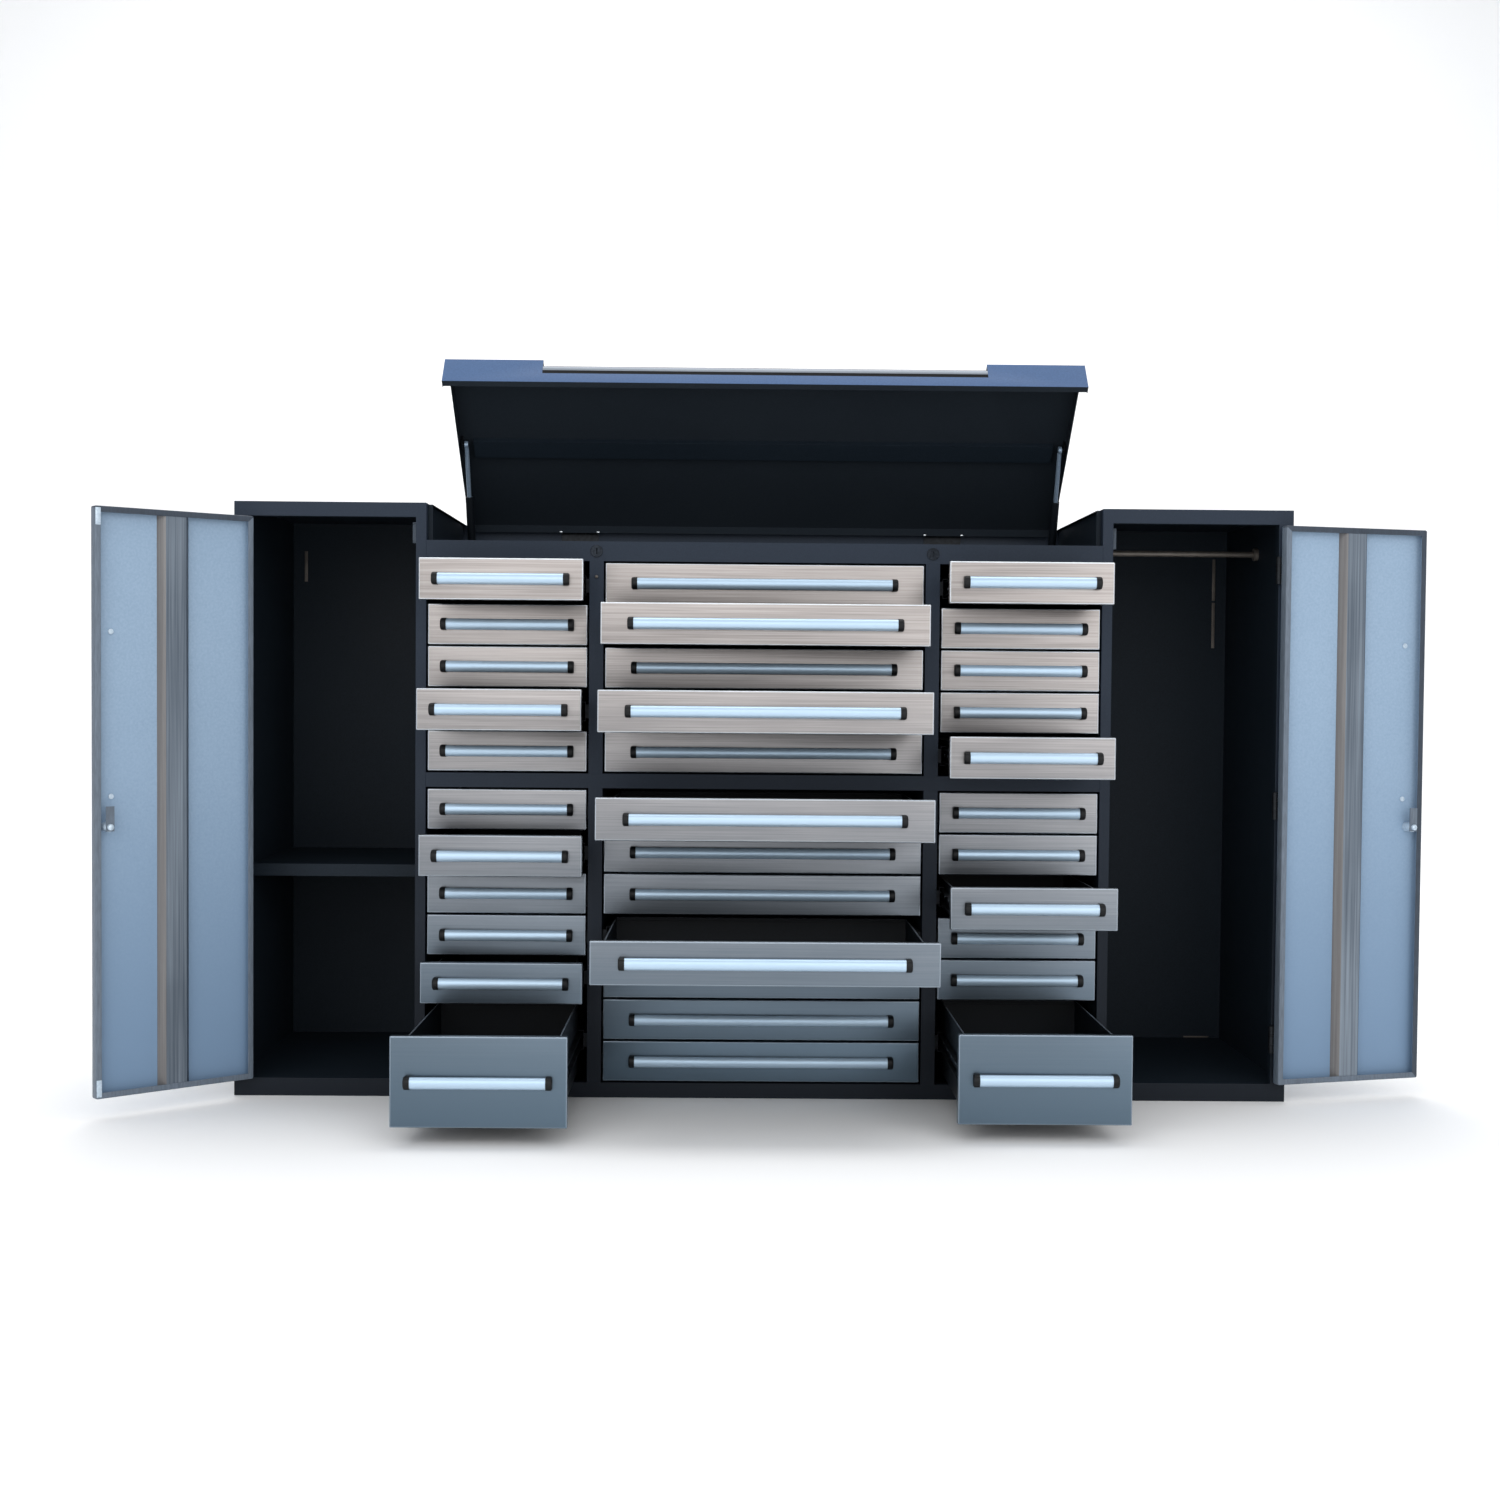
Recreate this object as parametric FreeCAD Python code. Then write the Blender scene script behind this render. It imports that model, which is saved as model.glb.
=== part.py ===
import FreeCAD, Part
import math
import os

# Rolling tool chest: two full-height lockers either side of a bank of three drawer columns,
# with a lidded recess on top. Millimetres, +X right, +Y back, +Z up, origin on the floor at
# the middle of the footprint. It is built with every drawer and door shut; each moving piece
# is then put at its stored opening.

os.makedirs("parts", exist_ok=True)
V = FreeCAD.Vector

# ---------------------------------------------------------------- driving sizes

WIDTH = 1829.0            # outside, over both lockers
DEPTH = 457.0             # outside, front face to back panel
HEIGHT = 1029.0           # floor to the top of the lockers

SHEET = 1.5               # carcass steel
SKIN = 1.2                # drawer, door and lid steel
LOCKER_WIDTH = 330.5      # outside of one locker
INNER_STILE = 18.0        # locker post beside the drawers
OUTER_STILE = 25.0        # locker post that carries the door
HEADER = 25.0             # locker front above the door
SILL = 31.0               # locker front below the door
POST_RETURN = 20.0        # depth of every folded post and rail

DIVIDER = 24.4            # post between two drawer columns
TOP_RAIL = 33.9
MIDDLE_RAIL = 25.1
BOTTOM_RAIL = 26.2
CHEST_DROP = 64.0         # top of the front rail below the top of the lockers
CHEST_FLOOR_DROP = 29.0   # chest floor below the top of the front rail
FRONT_GAP = 3.05          # gap all round a drawer front

ROWS_ABOVE = 5            # drawer rows above the middle rail
ROWS_BELOW = 7            # drawer rows below it

FRONT_THICK = 12.0        # folded depth of a drawer front
FRONT_BEND = 1.5          # bend radius round a drawer front
TRAY_INSET = 16.3         # tray side inboard of the front's edge
TRAY_RISE = 5.0           # tray bottom above the front's lower edge
TRAY_DROP = 12.0          # tray rim below the front's upper edge
TRAY_BACK_GAP = 30.0      # tray back to the back panel
HEM_HEIGHT = 6.0          # folded rim of a tray

PULL_SHARE = 0.835        # pull length over front width
PULL_HEIGHT = 19.0
PULL_REACH = 15.5         # how far a pull stands out
PULL_WALL = 2.0
PULL_CAP = 10.0           # length of a pull's end cap
CAP_PROUD = 1.0           # end cap beyond the bar's outline

SLIDE_THICK = 12.7        # both slide members nested
SLIDE_HEIGHT = 34.0
SLIDE_WALL = 1.2
SLIDE_SPACE = 3.8         # ball space between the two members
SPACER_LENGTH = 30.0      # block that holds a rail off its wall

DOOR_GAP = 3.0            # gap at a door's top, foot and hinge side
DOOR_FREE_GAP = 5.0       # gap at a door's free edge
DOOR_THICK = 16.0
DOOR_LIP = 10.0           # flange folded back round the inside of a door
STIFFENER_WIDTH = 56.0
STIFFENER_END = 2.0       # stiffener end to the door's edge
HINGE_LENGTH = 47.0
HINGE_OFFSET = 6.0        # hinge axis in front of the front face
HINGE_RADIUS = 5.0
HINGE_LEAF = 18.0         # leaf width from the axis
HINGE_PLATE = 1.5
PIN_RADIUS = 2.5
RUNNING = 0.05            # radial clearance of every turning fit
AXIAL = 0.3               # end clearance of a turning knuckle or lock

LOCK_RADIUS = 8.0
LOCK_BEZEL = 10.5
LOCK_PROUD = 2.0
LOCK_EDGE = 22.0          # lock axis to the door's free edge
LOCK_LEVEL = 479.0
CAM_LENGTH = 34.0
CAM_WIDTH = 14.0
CAM_THICK = 2.5

HANDLE_EDGE = 32.0        # handle line to the door's free edge
HANDLE_LOW = 528.0        # level of the lower handle screw
HANDLE_PITCH = 270.0      # screw to screw

SHELF_LEVEL = 395.0
SHELF_EDGE = 22.0
SHELF_SETBACK = 100.0
ROD_RADIUS = 5.5
ROD_LEVEL = 968.0

LID_LIP = 60.0            # height of the lid's front lip
LID_SKIRT = 30.0
CHEST_RIM = 8.0           # folded rim of the top recess
LID_SIDE_GAP = 2.0        # lip end to the rim
SKIRT_INSET = 9.0         # skirt inboard of the lip's end
LID_FRONT = 30.0          # lip behind the front face when shut
LID_REAR = 18.5           # lid's back edge to the cabinet's back
LID_AXIS_BACK = 15.0      # lid hinge axis to the cabinet's back
LID_AXIS_DROP = 14.0      # lid hinge axis below the lid's top
LID_HINGE_AT = 354.0      # lid hinge from the middle
LID_HINGE_LENGTH = 72.0
LID_HINGE_RADIUS = 3.5
LID_PIN_RADIUS = 2.0
NOTCH_WIDTH = 795.0       # cut-away of the lip round the lid's pull
NOTCH_HEIGHT = 36.0
NOTCH_DEPTH = 30.0
BAR_HEIGHT = 20.0         # lid pull bar

STRUT_AT = 552.0          # gas strut from the middle
STRUT_FOOT_BACK = 72.0    # lower pivot in front of the lid axis
STRUT_FOOT_RISE = 9.0     # lower pivot above the chest floor
STRUT_HEAD_BACK = 225.0   # upper pivot in front of the lid axis
STRUT_HEAD_DROP = 16.0    # upper pivot below the lid's sheet
TUBE_RADIUS = 7.5
TUBE_BORE = 6.0
TUBE_LENGTH = 137.0
STRUT_ROD_RADIUS = 4.0
STUD_RADIUS = 3.0
EYE_RADIUS = 7.0
EYE_THICK = 6.0

# Stored openings: drawer travel in mm (column, row from the top), the rest are shut.
DRAWER_OPEN = {
    ("left", 1): 104.0,
    ("left", 4): 127.0,
    ("left", 7): 99.0,
    ("left", 10): 78.0,
    ("left", 11): 374.0,
    ("centre", 2): 127.0,
    ("centre", 4): 193.0,
    ("centre", 6): 236.0,
    ("centre", 9): 341.0,
    ("right", 1): 127.0,
    ("right", 5): 157.0,
    ("right", 8): 193.0,
    ("right", 11): 328.0,
}
LEFT_DOOR_OPEN = 139.5
RIGHT_DOOR_OPEN = 196.0
LID_OPEN = 41.5

# ---------------------------------------------------------------- derived levels

FRONT = -DEPTH / 2
BACK = DEPTH / 2
BAY = WIDTH / 2 - LOCKER_WIDTH
RAIL_TOP = HEIGHT - CHEST_DROP
RAIL_BOTTOM = RAIL_TOP - TOP_RAIL
CHEST_FLOOR = RAIL_TOP - CHEST_FLOOR_DROP
ROWS = ROWS_ABOVE + ROWS_BELOW
PITCH = (RAIL_BOTTOM - BOTTOM_RAIL - MIDDLE_RAIL - 2 * FRONT_GAP) / ROWS
MIDDLE_BOTTOM = BOTTOM_RAIL + ROWS_BELOW * PITCH + FRONT_GAP
FRONT_HEIGHT = PITCH - FRONT_GAP
SIDE_FRONT = (2 * BAY - 2 * DIVIDER - 6 * FRONT_GAP) / 4
CENTRE_FRONT = 2 * SIDE_FRONT
POST_X = CENTRE_FRONT / 2 + FRONT_GAP + DIVIDER / 2
SIDE_X = POST_X + DIVIDER / 2 + FRONT_GAP + SIDE_FRONT / 2
WALL_SPACE = TRAY_INSET + FRONT_GAP
LOCKER_IN = BAY + 2 * SHEET
LOCKER_OUT = WIDTH / 2 - SHEET
TRAY_LENGTH = DEPTH - SHEET - TRAY_BACK_GAP - SKIN
SLIDE_LENGTH = TRAY_LENGTH - 20.0

DOOR_INNER = BAY + INNER_STILE + DOOR_FREE_GAP
DOOR_OUTER = WIDTH / 2 - OUTER_STILE - DOOR_GAP
DOOR_LOW = SILL + DOOR_GAP
DOOR_HIGH = HEIGHT - HEADER - DOOR_GAP
HINGE_X = WIDTH / 2 - OUTER_STILE - DOOR_GAP / 2
HINGE_Y = FRONT - HINGE_OFFSET
HINGE_LEVELS = (DOOR_LOW + 76.0, (DOOR_LOW + DOOR_HIGH) / 2, DOOR_HIGH - 76.0)

LID_AXIS_Y = BACK - LID_AXIS_BACK
LID_AXIS_Z = HEIGHT - LID_AXIS_DROP
LIP_X = BAY - CHEST_RIM - LID_SIDE_GAP
LID_FRONT_Y = FRONT + LID_FRONT
SKIRT_X = LIP_X - SKIRT_INSET
LID_BACK_Y = BACK - LID_REAR
FOOT_Y = LID_AXIS_Y - STRUT_FOOT_BACK
FOOT_Z = CHEST_FLOOR + STRUT_FOOT_RISE
HEAD_Y = LID_AXIS_Y - STRUT_HEAD_BACK
HEAD_Z = HEIGHT - SKIN - STRUT_HEAD_DROP


# ---------------------------------------------------------------- building blocks

def box(x0, x1, y0, y1, z0, z1):
    """Box between two corners."""
    return Part.makeBox(x1 - x0, y1 - y0, z1 - z0, V(x0, y0, z0))


def rod(radius, start, axis, length):
    """Round bar from start along axis."""
    return Part.makeCylinder(radius, length, V(*start), V(*axis))


def join(shapes):
    """One solid from touching shapes."""
    return shapes[0].fuse(shapes[1:]).removeSplitter()


def mirrored(shape):
    """The same shape on the other side of the middle plane."""
    return shape.mirror(V(0, 0, 0), V(1, 0, 0))


def both(shape):
    """A shape and its mirror image."""
    return [shape, mirrored(shape)]


def turned(shape, point, axis, degrees):
    """A copy turned about an axis through a point."""
    copy = shape.copy()
    copy.rotate(V(*point), V(*axis), degrees)
    return copy


def moved(shape, x, y, z):
    """A copy shifted by x, y, z."""
    copy = shape.copy()
    copy.translate(V(x, y, z))
    return copy


def save(name, shapes):
    """Write one sub-part; separate solids stay separate."""
    solids = []
    for shape in shapes:
        solids.extend(shape.Solids)
    Part.makeCompound(solids).exportStep("parts/" + name + ".step")


def profile_bar(points, arcs, x0, x1):
    """Bar along X from a closed outline in (y, z).

    points lists the corners; arcs maps the index of a side to the point its arc passes.
    """
    edges = []
    for index in range(len(points)):
        here = V(x0, points[index][0], points[index][1])
        ahead = points[(index + 1) % len(points)]
        there = V(x0, ahead[0], ahead[1])
        if index in arcs:
            through = V(x0, arcs[index][0], arcs[index][1])
            edges.append(Part.Arc(here, through, there).toShape())
        else:
            edges.append(Part.makeLine(here, there))
    return Part.Face(Part.Wire(edges)).extrude(V(x1 - x0, 0, 0))


# ---------------------------------------------------------------- pulls and locks

def pull(x0, x1, level, height):
    """Half-round pull between two end caps on the front face: bar, cap, cap."""
    half = height / 2
    root = FRONT - PULL_REACH * 0.55
    tip = FRONT - PULL_REACH
    outline = [
        (FRONT, level - half),
        (root, level - half),
        (root, level + half),
        (root, level + half - PULL_WALL),
        (root, level - half + PULL_WALL),
        (FRONT, level - half + PULL_WALL),
    ]
    arcs = {1: (tip, level), 3: (tip + PULL_WALL, level)}
    bar = profile_bar(outline, arcs, x0 + PULL_CAP, x1 - PULL_CAP)
    big = half + CAP_PROUD
    cap_outline = [
        (FRONT, level - big),
        (root, level - big),
        (root, level + big),
        (FRONT, level + big),
    ]
    cap_arcs = {1: (tip - CAP_PROUD, level)}
    left = profile_bar(cap_outline, cap_arcs, x0, x0 + PULL_CAP)
    right = profile_bar(cap_outline, cap_arcs, x1 - PULL_CAP, x1)
    return [bar, left, right]


def lock(x, z, barrel, cam_direction):
    """Keyed cylinder through a front sheet at (x, z), its bezel just clear of it, with an optional cam."""
    bezel = rod(LOCK_BEZEL, (x, FRONT - LOCK_PROUD, z), (0, 1, 0), LOCK_PROUD - AXIAL)
    body = rod(LOCK_RADIUS, (x, FRONT - LOCK_PROUD, z), (0, 1, 0), LOCK_PROUD + barrel)
    pieces = [bezel, body]
    if cam_direction:
        far = z + cam_direction * (CAM_LENGTH - CAM_WIDTH / 2)
        low, high = min(z, far) - CAM_WIDTH / 2, max(z, far) + CAM_WIDTH / 2
        y = FRONT + barrel
        pieces.append(box(x - CAM_WIDTH / 2, x + CAM_WIDTH / 2, y, y + CAM_THICK, low, high))
    key_slot = box(x - 1.0, x + 1.0, FRONT - LOCK_PROUD, FRONT + 3.0, z - 4.5, z + 4.5)
    return join(pieces).cut(key_slot)


# ---------------------------------------------------------------- fixed carcass

def channel_rail(x0, x1, z0, z1):
    """Front rail: face sheet with an upper and a lower flange."""
    face = box(x0, x1, FRONT, FRONT + SHEET, z0, z1)
    upper = box(x0, x1, FRONT, FRONT + POST_RETURN, z1 - SHEET, z1)
    lower = box(x0, x1, FRONT, FRONT + POST_RETURN, z0, z0 + SHEET)
    return join([face, upper, lower])


def channel_post(x0, x1, z0, z1):
    """Front post: face sheet with two side flanges."""
    face = box(x0, x1, FRONT, FRONT + SHEET, z0, z1)
    near = box(x0, x0 + SHEET, FRONT, FRONT + POST_RETURN, z0, z1)
    far = box(x1 - SHEET, x1, FRONT, FRONT + POST_RETURN, z0, z1)
    return join([face, near, far])


def front_frame():
    """Welded frame round the drawer fronts: three rails, four post lengths, two lock holes."""
    middle_top = MIDDLE_BOTTOM + MIDDLE_RAIL
    top_rail = channel_rail(-BAY, BAY, RAIL_BOTTOM, RAIL_TOP)
    holes = []
    posts = []
    for side in (-1, 1):
        x = side * POST_X
        place = (x, FRONT - 1.0, (RAIL_TOP + RAIL_BOTTOM) / 2)
        holes.append(rod(LOCK_RADIUS + RUNNING, place, (0, 1, 0), SHEET + 2.0))
        posts.append(channel_post(x - DIVIDER / 2, x + DIVIDER / 2, BOTTOM_RAIL, MIDDLE_BOTTOM))
        posts.append(channel_post(x - DIVIDER / 2, x + DIVIDER / 2, middle_top, RAIL_BOTTOM))
    middle_rail = channel_rail(-BAY, BAY, MIDDLE_BOTTOM, middle_top)
    bottom_rail = channel_rail(-BAY, BAY, SHEET, BOTTOM_RAIL)
    return [top_rail.cut(holes), middle_rail, bottom_rail] + posts


def cabinet_shell():
    """Base plate and the two side walls of the drawer bank."""
    base = box(-BAY - SHEET, BAY + SHEET, FRONT, BACK - SHEET, 0, SHEET)
    wall = box(BAY, BAY + SHEET, FRONT + POST_RETURN, BACK - SHEET, 0, CHEST_FLOOR - SHEET)
    return join([base] + both(wall))


def column_dividers():
    """Two box walls behind the posts between the drawer columns."""
    low, high = SHEET, CHEST_FLOOR - SHEET
    y0, y1 = FRONT + POST_RETURN, BACK - SHEET
    near = box(POST_X - DIVIDER / 2, POST_X - DIVIDER / 2 + SHEET, y0, y1, low, high)
    far = box(POST_X + DIVIDER / 2 - SHEET, POST_X + DIVIDER / 2, y0, y1, low, high)
    web = box(POST_X - DIVIDER / 2, POST_X + DIVIDER / 2, y1 - SHEET, y1, low, high)
    return both(join([near, far, web]))


def back_panel():
    """Back sheet of the drawer bank and the chest."""
    return box(-BAY - SHEET, BAY + SHEET, BACK - SHEET, BACK, 0, HEIGHT - SHEET)


def chest_pan():
    """Floor and side liners of the top recess, each liner with a folded rim."""
    y0 = FRONT + POST_RETURN
    y1 = BACK - SHEET
    floor = box(-BAY, BAY, y0, y1, CHEST_FLOOR - SHEET, CHEST_FLOOR)
    liner = box(BAY - SHEET, BAY, y0, y1, CHEST_FLOOR - SHEET, HEIGHT - SHEET)
    rim = box(BAY - CHEST_RIM, BAY, y0, y1, HEIGHT - 2 * SHEET, HEIGHT - SHEET)
    front_rim = box(BAY - CHEST_RIM, BAY, y0, y0 + SHEET, CHEST_FLOOR - SHEET, HEIGHT - SHEET)
    apron = box(-BAY, BAY, y0, y0 + SHEET, CHEST_FLOOR - SHEET, RAIL_TOP)
    return join([floor, apron] + both(liner) + both(rim) + both(front_rim))


def locker_shell():
    """Right-hand locker: walls, top, floor, posts, header and sill in one weldment."""
    outer, inner = WIDTH / 2, BAY + SHEET
    walls = [
        box(outer - SHEET, outer, FRONT, BACK, 0, HEIGHT),
        box(inner, inner + SHEET, FRONT, BACK, 0, HEIGHT),
        box(inner, outer, BACK - SHEET, BACK, 0, HEIGHT),
        box(BAY, outer, FRONT, BACK, HEIGHT - SHEET, HEIGHT),
        box(inner, outer, FRONT, BACK, SILL - SHEET, SILL),
        box(inner, outer, FRONT, FRONT + SHEET, 0, SILL),
        box(inner, outer, FRONT, FRONT + SHEET, HEIGHT - HEADER, HEIGHT),
        box(inner, outer, FRONT, FRONT + POST_RETURN, HEIGHT - HEADER, HEIGHT - HEADER + SHEET),
    ]
    walls.append(channel_post(BAY, BAY + INNER_STILE, SHEET, HEIGHT))
    walls.append(channel_post(outer - OUTER_STILE, outer, 0, HEIGHT))
    return join(walls)


def slide_rail(side, wall, y0, level):
    """Fixed slide member: a C rail on two spacers, side points from wall to tray."""
    spacer = WALL_SPACE - SLIDE_THICK
    half = SLIDE_HEIGHT / 2
    reach = WALL_SPACE - 2.7
    y1 = y0 + SLIDE_LENGTH

    def slab(u0, u1, a0, a1, z0, z1):
        ends = sorted((wall + side * u0, wall + side * u1))
        return box(ends[0], ends[1], a0, a1, z0, z1)

    web = slab(spacer, spacer + SLIDE_WALL, y0, y1, level - half, level + half)
    upper = slab(spacer, reach, y0, y1, level + half - SLIDE_WALL, level + half)
    lower = slab(spacer, reach, y0, y1, level - half, level - half + SLIDE_WALL)
    front = slab(0, spacer, y0, y0 + SPACER_LENGTH, level - 12.0, level + 12.0)
    rear = slab(0, spacer, y1 - SPACER_LENGTH, y1, level - 12.0, level + 12.0)
    return join([web, upper, lower, front, rear])


def locker_shelf():
    """Shelf of the left locker with its folded front and back edges."""
    y0, y1 = FRONT + SHELF_SETBACK, BACK - SHEET
    x0, x1 = -LOCKER_OUT, -LOCKER_IN
    deck = box(x0, x1, y0, y1, SHELF_LEVEL - SKIN, SHELF_LEVEL)
    lip = box(x0, x1, y0, y0 + SKIN, SHELF_LEVEL - SHELF_EDGE, SHELF_LEVEL)
    under = box(x0, x1, y0, y0 + 12.0, SHELF_LEVEL - SHELF_EDGE, SHELF_LEVEL - SHELF_EDGE + SKIN)
    rear = box(x0, x1, y1 - SKIN, y1, SHELF_LEVEL - SHELF_EDGE, SHELF_LEVEL)
    return join([deck, lip, under, rear])


def hanging_rod():
    """Garment rod of the right locker with a flange cup at each end."""
    bar = rod(ROD_RADIUS, (LOCKER_IN, 0, ROD_LEVEL), (1, 0, 0), LOCKER_OUT - LOCKER_IN)
    cup = rod(ROD_RADIUS + 6.0, (LOCKER_IN, 0, ROD_LEVEL), (1, 0, 0), 8.0)
    far = rod(ROD_RADIUS + 6.0, (LOCKER_OUT - 8.0, 0, ROD_LEVEL), (1, 0, 0), 8.0)
    return join([bar, cup, far])


def door_catch():
    """Magnetic catch on the inner wall behind the top of the inner post."""
    y0 = FRONT + POST_RETURN + 1.0
    body = box(LOCKER_IN, LOCKER_IN + 24.0, y0, y0 + 26.0, DOOR_HIGH - 40.0, DOOR_HIGH - 4.0)
    magnet = box(LOCKER_IN + 17.0, LOCKER_IN + 23.0, y0 - 1.5, y0, DOOR_HIGH - 36.0, DOOR_HIGH - 8.0)
    return join([body, magnet])


# ---------------------------------------------------------------- hinges

def door_hinge_fixed(level):
    """Post leaf with the two outer knuckles and the pin, right-hand side."""
    low = level - HINGE_LENGTH / 2
    third = HINGE_LENGTH / 3
    leaf = box(HINGE_X, HINGE_X + HINGE_LEAF, FRONT - HINGE_PLATE, FRONT, low, low + HINGE_LENGTH)
    leaf = leaf.cut(box(HINGE_X - 9.0, HINGE_X + 6.0, FRONT - 9.0, FRONT, low + third, low + 2 * third))
    lower = rod(HINGE_RADIUS, (HINGE_X, HINGE_Y, low), (0, 0, 1), third)
    upper = rod(HINGE_RADIUS, (HINGE_X, HINGE_Y, low + 2 * third), (0, 0, 1), third)
    pin = rod(PIN_RADIUS, (HINGE_X, HINGE_Y, low), (0, 0, 1), HINGE_LENGTH)
    return join([leaf, lower, upper, pin])


def door_hinge_moving(level):
    """Door leaf with the middle knuckle, right-hand side, door shut."""
    low = level - HINGE_LENGTH / 2
    third = HINGE_LENGTH / 3
    z0 = low + third + AXIAL
    z1 = low + 2 * third - AXIAL
    edge = HINGE_X - HINGE_RADIUS
    leaf = box(HINGE_X - HINGE_LEAF, edge, FRONT - HINGE_PLATE, FRONT, low, low + HINGE_LENGTH)
    tongue = box(edge, HINGE_X, FRONT - HINGE_PLATE, FRONT, z0, z1)
    knuckle = rod(HINGE_RADIUS, (HINGE_X, HINGE_Y, z0), (0, 0, 1), z1 - z0)
    bore = rod(PIN_RADIUS + RUNNING, (HINGE_X, HINGE_Y, low), (0, 0, 1), HINGE_LENGTH)
    return join([leaf, tongue, knuckle]).cut(bore)


def lid_hinge_fixed(x):
    """Lid hinge half on the back panel: plate, arm, two end knuckles and the pin."""
    x0 = x - LID_HINGE_LENGTH / 2
    third = LID_HINGE_LENGTH / 3
    inner = BACK - SHEET
    plate = box(x0, x0 + LID_HINGE_LENGTH, inner - SHEET, inner, LID_AXIS_Z - 30.0, LID_AXIS_Z)
    pieces = [plate]
    for start in (x0, x0 + 2 * third):
        pieces.append(box(start, start + third, LID_AXIS_Y, inner, LID_AXIS_Z - SHEET, LID_AXIS_Z))
        pieces.append(rod(LID_HINGE_RADIUS, (start, LID_AXIS_Y, LID_AXIS_Z), (1, 0, 0), third))
    pieces.append(rod(LID_PIN_RADIUS, (x0, LID_AXIS_Y, LID_AXIS_Z), (1, 0, 0), LID_HINGE_LENGTH))
    return join(pieces)


def lid_hinge_moving(x):
    """Lid hinge half on the lid's rear flange, lid shut."""
    x0 = x - LID_HINGE_LENGTH / 6 + AXIAL
    length = LID_HINGE_LENGTH / 3 - 2 * AXIAL
    reach = LID_AXIS_Y - LID_HINGE_RADIUS + SHEET
    plate = box(x0, x0 + length, LID_BACK_Y, reach, LID_AXIS_Z - 6.0, HEIGHT - SKIN)
    knuckle = rod(LID_HINGE_RADIUS, (x0, LID_AXIS_Y, LID_AXIS_Z), (1, 0, 0), length)
    bore = rod(LID_PIN_RADIUS + RUNNING, (x0 - 5.0, LID_AXIS_Y, LID_AXIS_Z), (1, 0, 0), length + 10.0)
    return join([plate, knuckle]).cut(bore)


def strut_foot():
    """Bracket and stud on the chest floor under the right-hand gas strut."""
    x = STRUT_AT + TUBE_RADIUS + 0.5
    plate = box(x, x + 2.0, FOOT_Y - 10.0, FOOT_Y + 10.0, CHEST_FLOOR, FOOT_Z + 8.0)
    flange = box(x, x + 13.0, FOOT_Y - 10.0, FOOT_Y + 10.0, CHEST_FLOOR, CHEST_FLOOR + 2.0)
    inner = STRUT_AT - EYE_THICK / 2 - 0.5
    stud = rod(STUD_RADIUS, (inner, FOOT_Y, FOOT_Z), (1, 0, 0), x - inner)
    return join([plate, flange, stud])


# ---------------------------------------------------------------- drawers

def drawer(x, width, z0, z1):
    """Shut drawer: folded front, tray, pull bar, two end caps, two inner slide members."""
    x0, x1 = x - width / 2, x + width / 2
    blank = box(x0, x1, FRONT, FRONT + FRONT_THICK, z0, z1)
    rim = [edge for edge in blank.Edges if abs(edge.CenterOfMass.y - FRONT) < 0.01]
    blank = blank.makeFillet(FRONT_BEND, rim)
    hollow = box(x0 + SKIN, x1 - SKIN, FRONT + SKIN, FRONT + FRONT_THICK, z0 + SKIN, z1 - SKIN)
    front = blank.cut(hollow)

    t0, t1 = x0 + TRAY_INSET, x1 - TRAY_INSET
    low, high = z0 + TRAY_RISE, z1 - TRAY_DROP
    y0 = FRONT + SKIN
    y1 = y0 + TRAY_LENGTH
    outside = box(t0, t1, y0, y1, low, high)
    inside = box(t0 + SKIN, t1 - SKIN, y0 + SKIN, y1 - SKIN, low + SKIN, high)
    rolled = []
    for start in (t0, t1 - 2 * SKIN):
        rolled.append(box(start, start + 2 * SKIN, y0, y1, high - HEM_HEIGHT, high))
    rolled.append(box(t0, t1, y1 - 2 * SKIN, y1, high - HEM_HEIGHT, high))
    tray = join([outside.cut(inside)] + rolled)

    level = (low + high) / 2
    half = SLIDE_HEIGHT / 2 - SLIDE_WALL - SLIDE_SPACE
    runners = []
    for side, edge in ((-1, t0), (1, t1)):
        ends = sorted((edge, edge + side * SLIDE_WALL))
        lips = sorted((edge, edge + side * 9.0))
        s0 = y0 + FRONT_THICK + 4.0
        s1 = s0 + SLIDE_LENGTH - 4.0
        web = box(ends[0], ends[1], s0, s1, level - half, level + half)
        upper = box(lips[0], lips[1], s0, s1, level + half - SLIDE_WALL, level + half)
        lower = box(lips[0], lips[1], s0, s1, level - half, level - half + SLIDE_WALL)
        runners.append(join([web, upper, lower]))

    reach = width * PULL_SHARE / 2
    grip = pull(x - reach, x + reach, (z0 + z1) / 2, PULL_HEIGHT)
    return [front, tray] + grip + runners


def row_bottom(row):
    """Lower edge of a single front in a row counted from the top."""
    if row <= ROWS_ABOVE:
        return RAIL_BOTTOM - FRONT_GAP - (row - 1) * PITCH - FRONT_HEIGHT
    return MIDDLE_BOTTOM - FRONT_GAP - (row - ROWS_ABOVE - 1) * PITCH - FRONT_HEIGHT


def build_column(name, x, width, last_is_double):
    """Write every drawer of a column and return its fixed slide rails."""
    count = ROWS - 1 if last_is_double else ROWS
    rails = []
    for row in range(1, count + 1):
        z1 = row_bottom(row) + FRONT_HEIGHT
        z0 = row_bottom(row)
        if last_is_double and row == count:
            z0 = row_bottom(row + 1)
        travel = DRAWER_OPEN.get((name, row), 0.0)
        solids = [moved(piece, 0, -travel, 0) for piece in drawer(x, width, z0, z1)]
        save("%s_drawer_%02d" % (name, row), solids)
        level = (z0 + TRAY_RISE + z1 - TRAY_DROP) / 2
        wall = width / 2 + FRONT_GAP
        for side in (-1, 1):
            y0 = FRONT + POST_RETURN
            rails.append(slide_rail(-side, x + side * wall, y0, level))
    return rails


# ---------------------------------------------------------------- doors

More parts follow.
